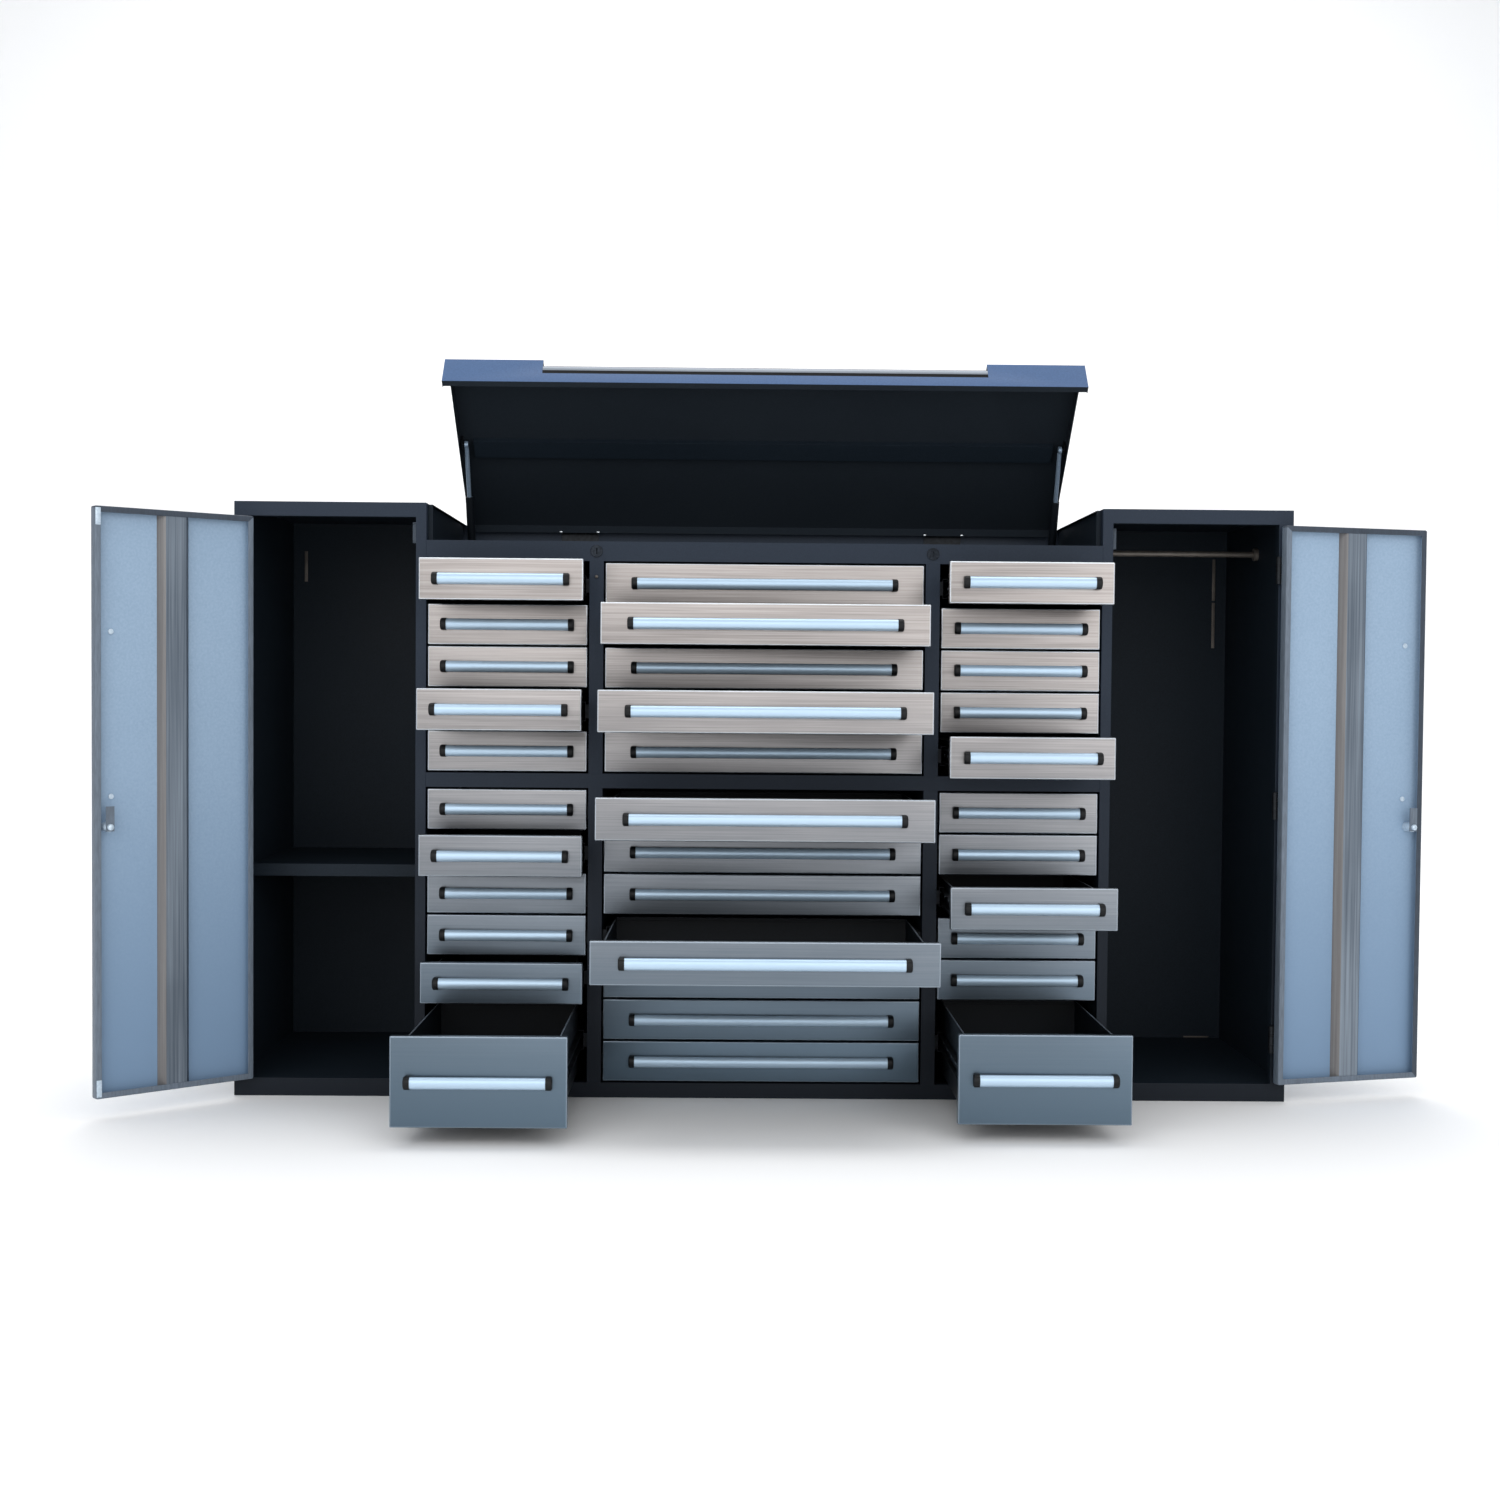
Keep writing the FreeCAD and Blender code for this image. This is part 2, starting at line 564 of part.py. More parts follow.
def door_panel():
    """Right-hand door, shut: pan with folded edges and lips, stiffener, three hinge leaves."""
    x0, x1 = DOOR_INNER, DOOR_OUTER
    z0, z1 = DOOR_LOW, DOOR_HIGH
    y1 = FRONT + DOOR_THICK
    blank = box(x0, x1, FRONT, y1, z0, z1)
    blank = blank.makeFillet(FRONT_BEND, [e for e in blank.Edges if abs(e.CenterOfMass.y - FRONT) < 0.01])
    hollow = box(x0 + SKIN, x1 - SKIN, FRONT + SKIN, y1 - SKIN, z0 + SKIN, z1 - SKIN)
    window = box(x0 + DOOR_LIP, x1 - DOOR_LIP, y1 - SKIN, y1, z0 + DOOR_LIP, z1 - DOOR_LIP)
    lock_place = (x0 + LOCK_EDGE, FRONT - 1.0, LOCK_LEVEL)
    hole = rod(LOCK_RADIUS + RUNNING, lock_place, (0, 1, 0), SKIN + 2.0)
    pan = blank.cut([hollow, window, hole])
    middle = (x0 + x1) / 2
    half = STIFFENER_WIDTH / 2
    s0, s1 = z0 + STIFFENER_END, z1 - STIFFENER_END
    hat = box(middle - half, middle + half, FRONT + SKIN, y1 - SKIN, s0, s1)
    cavity = box(middle - half + SKIN, middle + half - SKIN, FRONT + SKIN, y1 - 2 * SKIN, s0, s1)
    stiffener = hat.cut(cavity)
    leaves = [door_hinge_moving(level) for level in HINGE_LEVELS]
    return [pan, stiffener] + leaves


def door_handle():
    """Upright pull on the outside of the right-hand door, with two screws inside."""
    x = DOOR_INNER + HANDLE_EDGE
    middle = HANDLE_LOW + HANDLE_PITCH / 2
    half = HANDLE_PITCH / 2 + 24.0
    pieces = [turned(p, (0, FRONT, 0), (0, 1, 0), -90) for p in pull(-half, half, 0, PULL_HEIGHT)]
    pieces = [moved(piece, x, 0, middle) for piece in pieces]
    for level in (HANDLE_LOW, HANDLE_LOW + HANDLE_PITCH):
        pieces.append(rod(4.5, (x, FRONT + SKIN, level), (0, 1, 0), 2.6))
    return pieces


# ---------------------------------------------------------------- lid and struts

def lid_panel():
    """Shut lid: sheet, skirts, rear flange, notched lip with its recess, rib, leaves, head brackets."""
    y0, y1 = LID_FRONT_Y, LID_BACK_Y
    half_notch = NOTCH_WIDTH / 2
    notch_low = HEIGHT - NOTCH_HEIGHT
    notch_back = y0 + NOTCH_DEPTH
    sheet = box(-SKIRT_X, SKIRT_X, y0, y1, HEIGHT - SKIN, HEIGHT)
    skirt = box(SKIRT_X - SKIN, SKIRT_X, y0, y1, HEIGHT - LID_SKIRT, HEIGHT)
    rear = box(-SKIRT_X, SKIRT_X, y1 - SKIN, y1, LID_AXIS_Z - 6.0, HEIGHT)
    lip = box(-LIP_X, LIP_X, y0, y0 + SKIN, HEIGHT - LID_LIP, HEIGHT)
    hem = box(-LIP_X, LIP_X, y0, y0 + 12.0, HEIGHT - LID_LIP, HEIGHT - LID_LIP + SKIN)
    ear = box(SKIRT_X, LIP_X, y0, y0 + 14.0, HEIGHT - SKIN, HEIGHT)
    cheek = box(LIP_X - SKIN, LIP_X, y0, y0 + 14.0, HEIGHT - LID_LIP, HEIGHT)
    pan = join([sheet, rear, lip, hem] + both(skirt) + both(ear) + both(cheek))
    pan = pan.cut(box(-half_notch, half_notch, y0 - 1.0, notch_back, notch_low, HEIGHT + 1.0))
    shelf = box(-half_notch, half_notch, y0, notch_back, notch_low - SKIN, notch_low)
    wall = box(-half_notch, half_notch, notch_back - SKIN, notch_back, notch_low - SKIN, HEIGHT)
    end = box(half_notch, half_notch + SKIN, y0, notch_back, notch_low - SKIN, HEIGHT)
    pan = join([pan, shelf, wall] + both(end))
    middle = (y0 + y1) / 2
    rib = box(-STRUT_AT + 12.0, STRUT_AT - 12.0, middle - 20.0, middle + 20.0, HEIGHT - 11.0, HEIGHT - SKIN)
    rib = rib.cut(box(-STRUT_AT, STRUT_AT, middle - 18.8, middle + 18.8, HEIGHT - 9.8, HEIGHT - SKIN))
    leaves = [lid_hinge_moving(LID_HINGE_AT), lid_hinge_moving(-LID_HINGE_AT)]
    x = STRUT_AT + EYE_THICK / 2 + 4.0
    plate = box(x, x + 2.0, HEAD_Y - 9.0, HEAD_Y + 9.0, HEAD_Z - 7.0, HEIGHT - SKIN)
    inner = STRUT_AT + STRUT_ROD_RADIUS + 0.2
    stud = rod(STUD_RADIUS, (inner, HEAD_Y, HEAD_Z), (1, 0, 0), x - inner)
    return [pan, rib] + leaves + both(join([plate, stud]))


def lid_pull_bar():
    """Long pull bar across the lip's notch, with an end cap at each end."""
    half = NOTCH_WIDTH / 2
    level = HEIGHT - NOTCH_HEIGHT + 3.0 + BAR_HEIGHT / 2
    near = LID_FRONT_Y - 1.0
    far = LID_FRONT_Y + 11.0
    edge = BAR_HEIGHT / 2
    outline = [(far, level - edge), (near + 4.0, level - edge), (near + 4.0, level + edge), (far, level + edge)]
    bar = profile_bar(outline, {1: (near, level)}, -half + 12.0, half - 12.0)
    cap = profile_bar(outline, {1: (near, level)}, half - 12.0, half)
    return [bar] + both(cap)


def strut_frame():
    """Unit direction of an open strut in (y, z) and its pivot-to-pivot length."""
    angle = math.radians(-LID_OPEN)
    dy, dz = HEAD_Y - LID_AXIS_Y, HEAD_Z - LID_AXIS_Z
    y = LID_AXIS_Y + dy * math.cos(angle) - dz * math.sin(angle)
    z = LID_AXIS_Z + dy * math.sin(angle) + dz * math.cos(angle)
    length = math.hypot(y - FOOT_Y, z - FOOT_Z)
    return (0, (y - FOOT_Y) / length, (z - FOOT_Z) / length), length


def along(direction, distance):
    """Point on the right-hand strut's axis, measured from its lower pivot."""
    return (STRUT_AT, FOOT_Y + direction[1] * distance, FOOT_Z + direction[2] * distance)


def strut_cylinder(direction):
    """Pressure tube with a closed foot, an eye round the floor stud and a gland at the mouth."""
    tube = rod(TUBE_RADIUS, along(direction, 5.0), direction, TUBE_LENGTH - 5.0)
    eye = rod(EYE_RADIUS, (STRUT_AT - EYE_THICK / 2, FOOT_Y, FOOT_Z), (1, 0, 0), EYE_THICK)
    bore = rod(TUBE_BORE, along(direction, 16.0), direction, TUBE_LENGTH - 26.0)
    gland = rod(STRUT_ROD_RADIUS + RUNNING, along(direction, 20.0), direction, TUBE_LENGTH)
    hole = rod(STUD_RADIUS + RUNNING, (STRUT_AT - 12.0, FOOT_Y, FOOT_Z), (1, 0, 0), 24.0)
    return join([tube, eye]).cut([bore, gland, hole]).Solids[0]


def strut_rod(direction, length):
    """Polished rod with its piston inside the tube and a plain head at the lid."""
    bottom = TUBE_LENGTH - 24.0
    shaft = rod(STRUT_ROD_RADIUS, along(direction, bottom), direction, length - bottom - 5.0)
    piston = rod(TUBE_BORE - RUNNING, along(direction, bottom), direction, 8.0)
    head = rod(EYE_RADIUS, (STRUT_AT - EYE_THICK / 2, *along(direction, length)[1:]), (1, 0, 0), EYE_THICK)
    return join([shaft, piston, head])


# ---------------------------------------------------------------- assembly

def main():
    """Write every sub-part at its stored position."""
    save("cabinet_shell", [cabinet_shell()])
    save("front_frame", front_frame())
    save("column_dividers", column_dividers())
    save("back_panel", [back_panel()])
    save("chest_pan", [chest_pan()])
    locker = locker_shell()
    save("right_locker_shell", [locker])
    save("left_locker_shell", [mirrored(locker)])
    save("locker_shelf", [locker_shelf()])
    save("hanging_rod", [hanging_rod()])
    save("door_catches", both(door_catch()))

    rails = build_column("left", -SIDE_X, SIDE_FRONT, True)
    rails += build_column("centre", 0, CENTRE_FRONT, False)
    rails += build_column("right", SIDE_X, SIDE_FRONT, True)
    save("drawer_slide_rails", rails)

    fixed = []
    for level in HINGE_LEVELS:
        fixed += both(door_hinge_fixed(level))
    fixed += [lid_hinge_fixed(LID_HINGE_AT), lid_hinge_fixed(-LID_HINGE_AT)]
    fixed += both(strut_foot())
    save("hinge_hardware", fixed)

    lock_level = (RAIL_TOP + RAIL_BOTTOM) / 2
    save("right_drawer_lock", [lock(POST_X, lock_level, POST_RETURN - 4.0, 0)])
    save("left_drawer_lock", [lock(-POST_X, lock_level, POST_RETURN - 4.0, 0)])

    door_lock = lock(DOOR_INNER + LOCK_EDGE, LOCK_LEVEL, POST_RETURN + 1.0, 1)
    pieces = {"door_panel": door_panel(), "door_handle": door_handle(), "door_lock": [door_lock]}
    for name, solids in pieces.items():
        axis = (HINGE_X, HINGE_Y, 0)
        right = [turned(s, axis, (0, 0, 1), RIGHT_DOOR_OPEN) for s in solids]
        left = [mirrored(turned(s, axis, (0, 0, 1), LEFT_DOOR_OPEN)) for s in solids]
        save("right_" + name, right)
        save("left_" + name, left)

    hinge = (0, LID_AXIS_Y, LID_AXIS_Z)
    save("lid_panel", [turned(s, hinge, (1, 0, 0), -LID_OPEN) for s in lid_panel()])
    save("lid_pull_bar", [turned(s, hinge, (1, 0, 0), -LID_OPEN) for s in lid_pull_bar()])

    direction, length = strut_frame()
    cylinder = strut_cylinder(direction)
    piston = strut_rod(direction, length)
    save("right_strut_cylinder", [cylinder])
    save("left_strut_cylinder", [mirrored(cylinder)])
    save("right_strut_rod", [piston])
    save("left_strut_rod", [mirrored(piston)])


main()
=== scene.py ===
"""Looks of a wide steel tool chest: drawers between two lockers under a lidded recess.

Everything is in metres in the part's own frame: +X right, +Y back, +Z up, floor at zero.
Sizes that the frame knows are read from it; the rest are fields of the class that uses them.
"""

import logging
import math
from collections.abc import Callable, Sequence
from dataclasses import dataclass, field
from enum import Enum

import bmesh
import bpy
import numpy as np
from mathutils import Matrix, Vector


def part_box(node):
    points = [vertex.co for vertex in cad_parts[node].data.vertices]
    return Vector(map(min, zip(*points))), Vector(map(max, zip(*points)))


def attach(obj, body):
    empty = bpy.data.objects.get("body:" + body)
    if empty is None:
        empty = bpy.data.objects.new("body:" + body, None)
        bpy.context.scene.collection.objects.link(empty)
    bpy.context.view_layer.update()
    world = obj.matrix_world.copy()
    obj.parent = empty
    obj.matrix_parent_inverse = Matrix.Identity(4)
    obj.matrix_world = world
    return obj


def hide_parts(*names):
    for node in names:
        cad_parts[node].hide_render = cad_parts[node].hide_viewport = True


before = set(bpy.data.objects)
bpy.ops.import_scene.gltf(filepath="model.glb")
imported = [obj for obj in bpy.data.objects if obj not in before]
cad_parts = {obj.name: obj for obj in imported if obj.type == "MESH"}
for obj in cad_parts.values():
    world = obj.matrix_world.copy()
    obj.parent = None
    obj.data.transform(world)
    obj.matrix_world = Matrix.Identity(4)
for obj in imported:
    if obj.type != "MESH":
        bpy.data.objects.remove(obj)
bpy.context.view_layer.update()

LOG = logging.getLogger("tool_chest")
MM = 0.001


# ------------------------------------------------------------------ surfaces


@dataclass
class Surface:
    """Points and faces of one piece, with the number of the finish that each face takes."""

    points: np.ndarray
    faces: list[tuple[int, ...]]
    finish: list[int]

    def __add__(self, other: "Surface") -> "Surface":
        """Both surfaces as one piece."""
        shift = len(self.points)
        faces = self.faces + [tuple(i + shift for i in face) for face in other.faces]
        return Surface(np.vstack([self.points, other.points]), faces, self.finish + other.finish)

    def mapped(self, change: Callable[[np.ndarray], np.ndarray]) -> "Surface":
        """The same faces over changed points."""
        return Surface(change(self.points), self.faces, self.finish)

    def shifted(self, x: float, y: float, z: float) -> "Surface":
        """The surface moved by x, y, z."""
        return self.mapped(lambda p: p + np.array([x, y, z]))

    def swapped(self, order: str) -> "Surface":
        """The surface with its axes taken in another order, such as "xzy"."""
        columns = ["xyz".index(letter) for letter in order]
        return self.mapped(lambda p: p[:, columns])

    def turned(self, pivot: Vector, axis: str, degrees: float) -> "Surface":
        """The surface turned about an axis through pivot."""
        turn = np.array(Matrix.Rotation(math.radians(degrees), 3, axis))
        centre = np.array(pivot)
        return self.mapped(lambda p: (p - centre) @ turn.T + centre)

    def mirrored(self) -> "Surface":
        """The surface mirrored from right to left."""
        return self.mapped(lambda p: p * np.array([-1, 1, 1]))

    def painted(self, number: int) -> "Surface":
        """The surface with one finish number on every face."""
        return Surface(self.points, self.faces, [number] * len(self.faces))

    def painted_by(self, choose: Callable[[np.ndarray], np.ndarray]) -> "Surface":
        """The surface with finish numbers chosen from the array of its faces' centres."""
        centres = np.array([self.points[list(face)].mean(0) for face in self.faces])
        return Surface(self.points, self.faces, choose(centres).astype(int).tolist())


def gather(parts: Sequence[Surface]) -> Surface:
    """Several surfaces as one piece."""
    total = parts[0]
    for part in parts[1:]:
        total = total + part
    return total


def loft(rings: np.ndarray, bands: Sequence[int] | None = None, hoop: bool = False) -> Surface:
    """Quads between neighbouring rings, each ring closed on itself.

    Point (r, c) joins (r, c + 1), (r + 1, c + 1) and (r + 1, c), columns counted modulo the
    ring's length. The first and last rings are filled, unless hoop joins them to each other.

    Args:
        rings: Array (rings, points, 3).
        bands: Finish number of each band between two rings; all zero if left out.
        hoop: True joins the last ring back to the first.

    Returns:
        The closed surface.
    """
    count, size = rings.shape[:2]
    steps = count if hoop else count - 1
    row, column = np.meshgrid(np.arange(steps), np.arange(size), indexing="ij")
    here, ahead = row * size, (row + 1) % count * size
    after = (column + 1) % size
    quads = np.stack([here + column, here + after, ahead + after, ahead + column], -1)
    faces = [tuple(q) for q in quads.reshape(-1, 4).tolist()]
    numbers = np.zeros(steps, int) if bands is None else np.array(bands)
    finish = np.repeat(numbers, size).tolist()
    if not hoop:
        faces.append(tuple(range(size))[::-1])
        faces.append(tuple(range((count - 1) * size, count * size)))
        finish += [int(numbers[0]), int(numbers[-1])]
    return Surface(rings.reshape(-1, 3), faces, finish)


def rounded_ring(half_x: float, half_y: float, radius: float, steps: int = 3) -> np.ndarray:
    """Outline of a rectangle with round corners, anticlockwise.

    Each corner is its centre plus radius times (cos, sin) over a quarter turn.

    Args:
        half_x: Half the width.
        half_y: Half the height.
        radius: Corner radius.
        steps: Steps in each corner.

    Returns:
        Array (points, 2).
    """
    quarter = np.arange(4)[:, None] * math.pi / 2 + np.linspace(0, math.pi / 2, steps + 1)
    centre_x = (half_x - radius) * np.array([1, -1, -1, 1])[:, None]
    centre_y = (half_y - radius) * np.array([1, 1, -1, -1])[:, None]
    x = centre_x + radius * np.cos(quarter)
    y = centre_y + radius * np.sin(quarter)
    return np.stack([x.ravel(), y.ravel()], -1)


def bend(inset: float, level: float, radius: float, start: float, end: float) -> list[tuple[float, float]]:
    """Quarter bend of a section: centre plus radius times (cos, sin) from start to end degrees."""
    angle = np.radians(np.linspace(start, end, 4))
    return list(zip(inset + radius * np.cos(angle), level + radius * np.sin(angle)))


def pan(
    half_x: float,
    half_y: float,
    corner: float,
    section: Sequence[tuple[float, float]],
    bands: Sequence[int] | None = None,
) -> Surface:
    """Folded pan: a rounded outline drawn in and raised along a section.

    Ring k is the outline drawn in by section[k][0] and set at height section[k][1], its
    corners losing as much radius as it is drawn in.

    Args:
        half_x: Half the outside width.
        half_y: Half the outside height.
        corner: Outside corner radius.
        section: Pairs of inset and level, from one filled end to the other.
        bands: Finish number of each band.

    Returns:
        The pan, lying in XY with its levels along Z.
    """
    rings = []
    for inset, level in section:
        ring = rounded_ring(half_x - inset, half_y - inset, max(corner - inset, 0.2 * MM))
        rings.append(np.column_stack([ring, np.full(len(ring), level)]))
    return loft(np.array(rings), bands)


def extrusion(outline: np.ndarray, stations: Sequence[tuple[float, float]]) -> Surface:
    """Bar along X: an outline in (y, z) repeated at each station, scaled about its middle.

    Args:
        outline: Array (points, 2), closed.
        stations: Pairs of x and scale.

    Returns:
        The bar, filled at both ends.
    """
    middle = outline.mean(0)
    rings = []
    for x, scale in stations:
        section = middle + (outline - middle) * scale
        rings.append(np.column_stack([np.full(len(section), x), section]))
    return loft(np.array(rings))


def turned_bar(profile: Sequence[tuple[float, float]], sides: int = 24) -> Surface:
    """Solid of revolution about X: a circle of radius r at each x of the profile.

    Args:
        profile: Pairs of x and radius along the axis.
        sides: Points round each circle.

    Returns:
        The solid, filled at both ends.
    """
    angle = np.linspace(0, 2 * math.pi, sides, endpoint=False)
    rings = [
        np.column_stack([np.full(sides, x), r * np.cos(angle), r * np.sin(angle)])
        for x, r in profile
    ]
    return loft(np.array(rings))


def block(low: Sequence[float], high: Sequence[float], soft: float) -> Surface:
    """Box between two corners with its edges rounded by soft."""
    middle = (np.array(low) + np.array(high)) / 2
    half = (np.array(high) - np.array(low)) / 2
    section = bend(soft, -half[2] + soft, soft, 270, 180) + bend(soft, half[2] - soft, soft, 180, 90)
    return pan(half[0], half[1], soft * 1.2, section).shifted(*middle)


# ------------------------------------------------------------------ pieces


@dataclass
class Face:
    """A face of a CAD copy: its centre, its outward direction and the size of its loose part."""

    centre: Vector
    normal: Vector
    part: Vector


class Piece:
    """Turns surfaces and CAD nodes into finished objects riding on their bodies."""

    CREASE = math.radians(32)
    WELD = 2e-6
    FLAT = math.radians(1)

    @classmethod
    def make(
        cls,
        name: str,
        surface: Surface,
        finishes: Sequence[bpy.types.Material],
        body: str,
        slot: str,
        stands_for: Sequence[str] = (),
    ) -> bpy.types.Object:
        """Makes one object.

        Args:
            name: The piece's name.
            surface: Its closed shells.
            finishes: One material per finish number.
            body: The body it rides on.
            slot: The record's material slot; not used.
            stands_for: CAD nodes that it replaces.

        Returns:
            The object.
        """
        mesh = bpy.data.meshes.new(name)
        mesh.from_pydata(surface.points.tolist(), [], surface.faces)
        mesh.polygons.foreach_set("material_index", np.array(surface.finish, np.int32))
        cls._face_outwards(mesh)
        return cls._finish(name, mesh, finishes, body, slot, stands_for)

    @classmethod
    def softened(
        cls,
        node: str,
        name: str,
        finishes: Sequence[bpy.types.Material],
        body: str,
        slot: str,
        radius: float,
        choose: Callable[[Face], int] | None = None,
    ) -> bpy.types.Object:
        """Stands for a CAD node with the same shape, its folds and edges rounded.

        Args:
            node: The CAD node.
            name: The new piece's name.
            finishes: One material per finish number.
            body: The body it rides on.
            slot: The record's material slot; not used.
            radius: Radius of its edges.
            choose: Gives a face's finish number.

        Returns:
            The object.
        """
        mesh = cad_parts[node].data.copy()
        mesh.name = name
        mesh.materials.clear()
        work = cls.merged(mesh)
        bmesh.ops.recalc_face_normals(work, faces=work.faces)
        for part in cls.loose_parts(work) if choose else []:
            corners = np.array([v.co for f in part for v in f.verts])
            size = Vector(corners.max(0) - corners.min(0))
            for face in part:
                face.material_index = choose(Face(face.calc_center_median(), face.normal.copy(), size))
        work.to_mesh(mesh)
        work.free()
        piece = cls._finish(name, mesh, finishes, body, slot, [node])
        soft = piece.modifiers.new("rounded edges", "BEVEL")
        soft.width = radius
        soft.segments = 2
        soft.limit_method = "ANGLE"
        soft.angle_limit = math.radians(40)
        soft.use_clamp_overlap = True
        return piece

    @staticmethod
    def merged(mesh: bpy.types.Mesh) -> bmesh.types.BMesh:
        """A CAD mesh with its corners merged and its flat faces joined."""
        work = bmesh.new()
        work.from_mesh(mesh)
        bmesh.ops.remove_doubles(work, verts=work.verts, dist=Piece.WELD)
        bmesh.ops.dissolve_limit(work, angle_limit=Piece.FLAT, verts=work.verts, edges=work.edges)
        return work

    @staticmethod
    def loose_parts(work: bmesh.types.BMesh) -> list[list[bmesh.types.BMFace]]:
        """Faces of each loose part of a mesh."""
        left = set(work.faces)
        parts = []
        while left:
            seed = left.pop()
            part, front = [seed], [seed]
            while front:
                face = front.pop()
                for edge in face.edges:
                    for near in edge.link_faces:
                        if near in left:
                            left.discard(near)
                            part.append(near)
                            front.append(near)
            parts.append(part)
        return parts

    @staticmethod
    def _face_outwards(mesh: bpy.types.Mesh) -> None:
        """Turns every shell's faces outwards."""
        work = bmesh.new()
        work.from_mesh(mesh)
        bmesh.ops.recalc_face_normals(work, faces=work.faces)
        work.to_mesh(mesh)
        work.free()

    @classmethod
    def _finish(
        cls,
        name: str,
        mesh: bpy.types.Mesh,
        finishes: Sequence[bpy.types.Material],
        body: str,
        slot: str,
        stands_for: Sequence[str],
    ) -> bpy.types.Object:
        """Shades a mesh, gives it its materials, and hangs it on its body."""
        for finish in finishes:
            mesh.materials.append(finish)
        mesh.polygons.foreach_set("use_smooth", np.ones(len(mesh.polygons), bool))
        mesh.set_sharp_from_angle(angle=cls.CREASE)
        piece = bpy.data.objects.new(name, mesh)
        bpy.context.scene.collection.objects.link(piece)
        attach(piece, body)
        if stands_for:
            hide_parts(*stands_for)
        LOG.info("%s on %s: %d faces", name, body, len(mesh.polygons))
        return piece


# ------------------------------------------------------------------ finishes


def linear(colour: str) -> tuple[float, float, float, float]:
    """Linear colour of an sRGB hex value."""
    values = [int(colour[i : i + 2], 16) / 255 for i in (1, 3, 5)]
    lit = [v / 12.92 if v <= 0.04045 else ((v + 0.055) / 1.055) ** 2.4 for v in values]
    return (lit[0], lit[1], lit[2], 1.0)


def add(
    tree: bpy.types.NodeTree,
    kind: str,
    settings: dict[str, object],
    inputs: dict[str | int, object],
) -> bpy.types.Node:
    """Adds one node.

    Args:
        tree: The node tree.
        kind: The node's type name.
        settings: Properties to set on the node.
        inputs: Values or output sockets for its inputs, by name or number.

    Returns:
        The node.
    """
    node = tree.nodes.new(kind)
    for key, value in settings.items():
        setattr(node, key, value)
    for key, value in inputs.items():
        if isinstance(value, bpy.types.NodeSocket):
            tree.links.new(value, node.inputs[key])
        else:
            node.inputs[key].default_value = value
    return node


def blend(
    tree: bpy.types.NodeTree, factor: bpy.types.NodeSocket, low: object, high: object
) -> bpy.types.NodeSocket:
    """Output of a node that mixes two colours, or colour sockets, by a factor."""
    inputs = {0: factor, 6: low, 7: high}
    return add(tree, "ShaderNodeMix", {"data_type": "RGBA"}, inputs).outputs[2]


@dataclass(frozen=True)
class Finish:
    """A surface finish: two tones of one colour under a pattern, with relief and gloss.

    The pattern is noise on Object coordinates stretched by grain, the size in metres of one
    grain along X, Y and Z. A second, broad noise of size cloud shifts tone and gloss, as
    handling and uneven spraying do.
    """

    name: str
    light: str
    dark: str
    metallic: float
    roughness: float
    gloss_swing: float
    grain: tuple[float, float, float]
    relief: float
    cloud: float = 0.12
    specular: float = 0.5
    # Optional painted shade: a darker colour that takes over towards the floor, gone by the height that
    # follows.
    painted_foot_shade: str = ""
    painted_shade_height: float = 1.0

    def build(self) -> bpy.types.Material:
        """The finish as a material."""
        material = bpy.data.materials.new(self.name)
        material.use_nodes = True
        tree = material.node_tree
        shader = tree.nodes["Principled BSDF"]
        place = add(tree, "ShaderNodeTexCoord", {}, {})
        scale = tuple(1 / size for size in self.grain)
        spread = add(tree, "ShaderNodeMapping", {}, {"Vector": place.outputs["Object"], "Scale": scale})
        fine = add(tree, "ShaderNodeTexNoise", {}, {"Vector": spread.outputs[0], "Scale": 1.0, "Detail": 3.0})
        broad = add(
            tree,
            "ShaderNodeTexNoise",
            {},
            {"Vector": place.outputs["Object"], "Scale": 1 / self.cloud, "Detail": 4.0},
        )
        both = add(
            tree,
            "ShaderNodeMath",
            {"operation": "MULTIPLY_ADD"},
            {0: broad.outputs["Fac"], 1: 0.5, 2: fine.outputs["Fac"]},
        )
        tone = add(
            tree,
            "ShaderNodeMapRange",
            {},
            {"Value": both.outputs[0], "From Min": 0.5, "From Max": 1.0},
        )
        colour = self._tones(tree, tone.outputs[0], place.outputs["Object"])
        gloss = add(
            tree,
            "ShaderNodeMapRange",
            {},
            {
                "Value": broad.outputs["Fac"],
                "From Min": 0.3,
                "From Max": 0.7,
                "To Min": self.roughness - self.gloss_swing,
                "To Max": self.roughness + self.gloss_swing,
            },
        )
        bump = add(
            tree,
            "ShaderNodeBump",
            {},
            {"Height": fine.outputs["Fac"], "Strength": 0.6, "Distance": self.relief},
        )
        tree.links.new(colour, shader.inputs["Base Color"])
        tree.links.new(gloss.outputs[0], shader.inputs["Roughness"])
        tree.links.new(bump.outputs[0], shader.inputs["Normal"])
        shader.inputs["Metallic"].default_value = self.metallic
        shader.inputs["Specular IOR Level"].default_value = self.specular
        return material

    def _tones(
        self, tree: bpy.types.NodeTree, tone: bpy.types.NodeSocket, place: bpy.types.NodeSocket
    ) -> bpy.types.NodeSocket:
        """Mixes the two tones, then the painted shade that takes over near the floor."""
        mixed = blend(tree, tone, linear(self.dark), linear(self.light))
        if not self.painted_foot_shade:
            return mixed
        parts = add(tree, "ShaderNodeSeparateXYZ", {}, {"Vector": place})
        low = add(
            tree,
            "ShaderNodeMapRange",
            {"interpolation_type": "SMOOTHSTEP"},
            {"Value": parts.outputs["Z"], "From Max": self.painted_shade_height, "To Min": 1.0, "To Max": 0.0},
        )
        foot = blend(tree, low.outputs[0], mixed, linear(self.painted_foot_shade))
        return foot


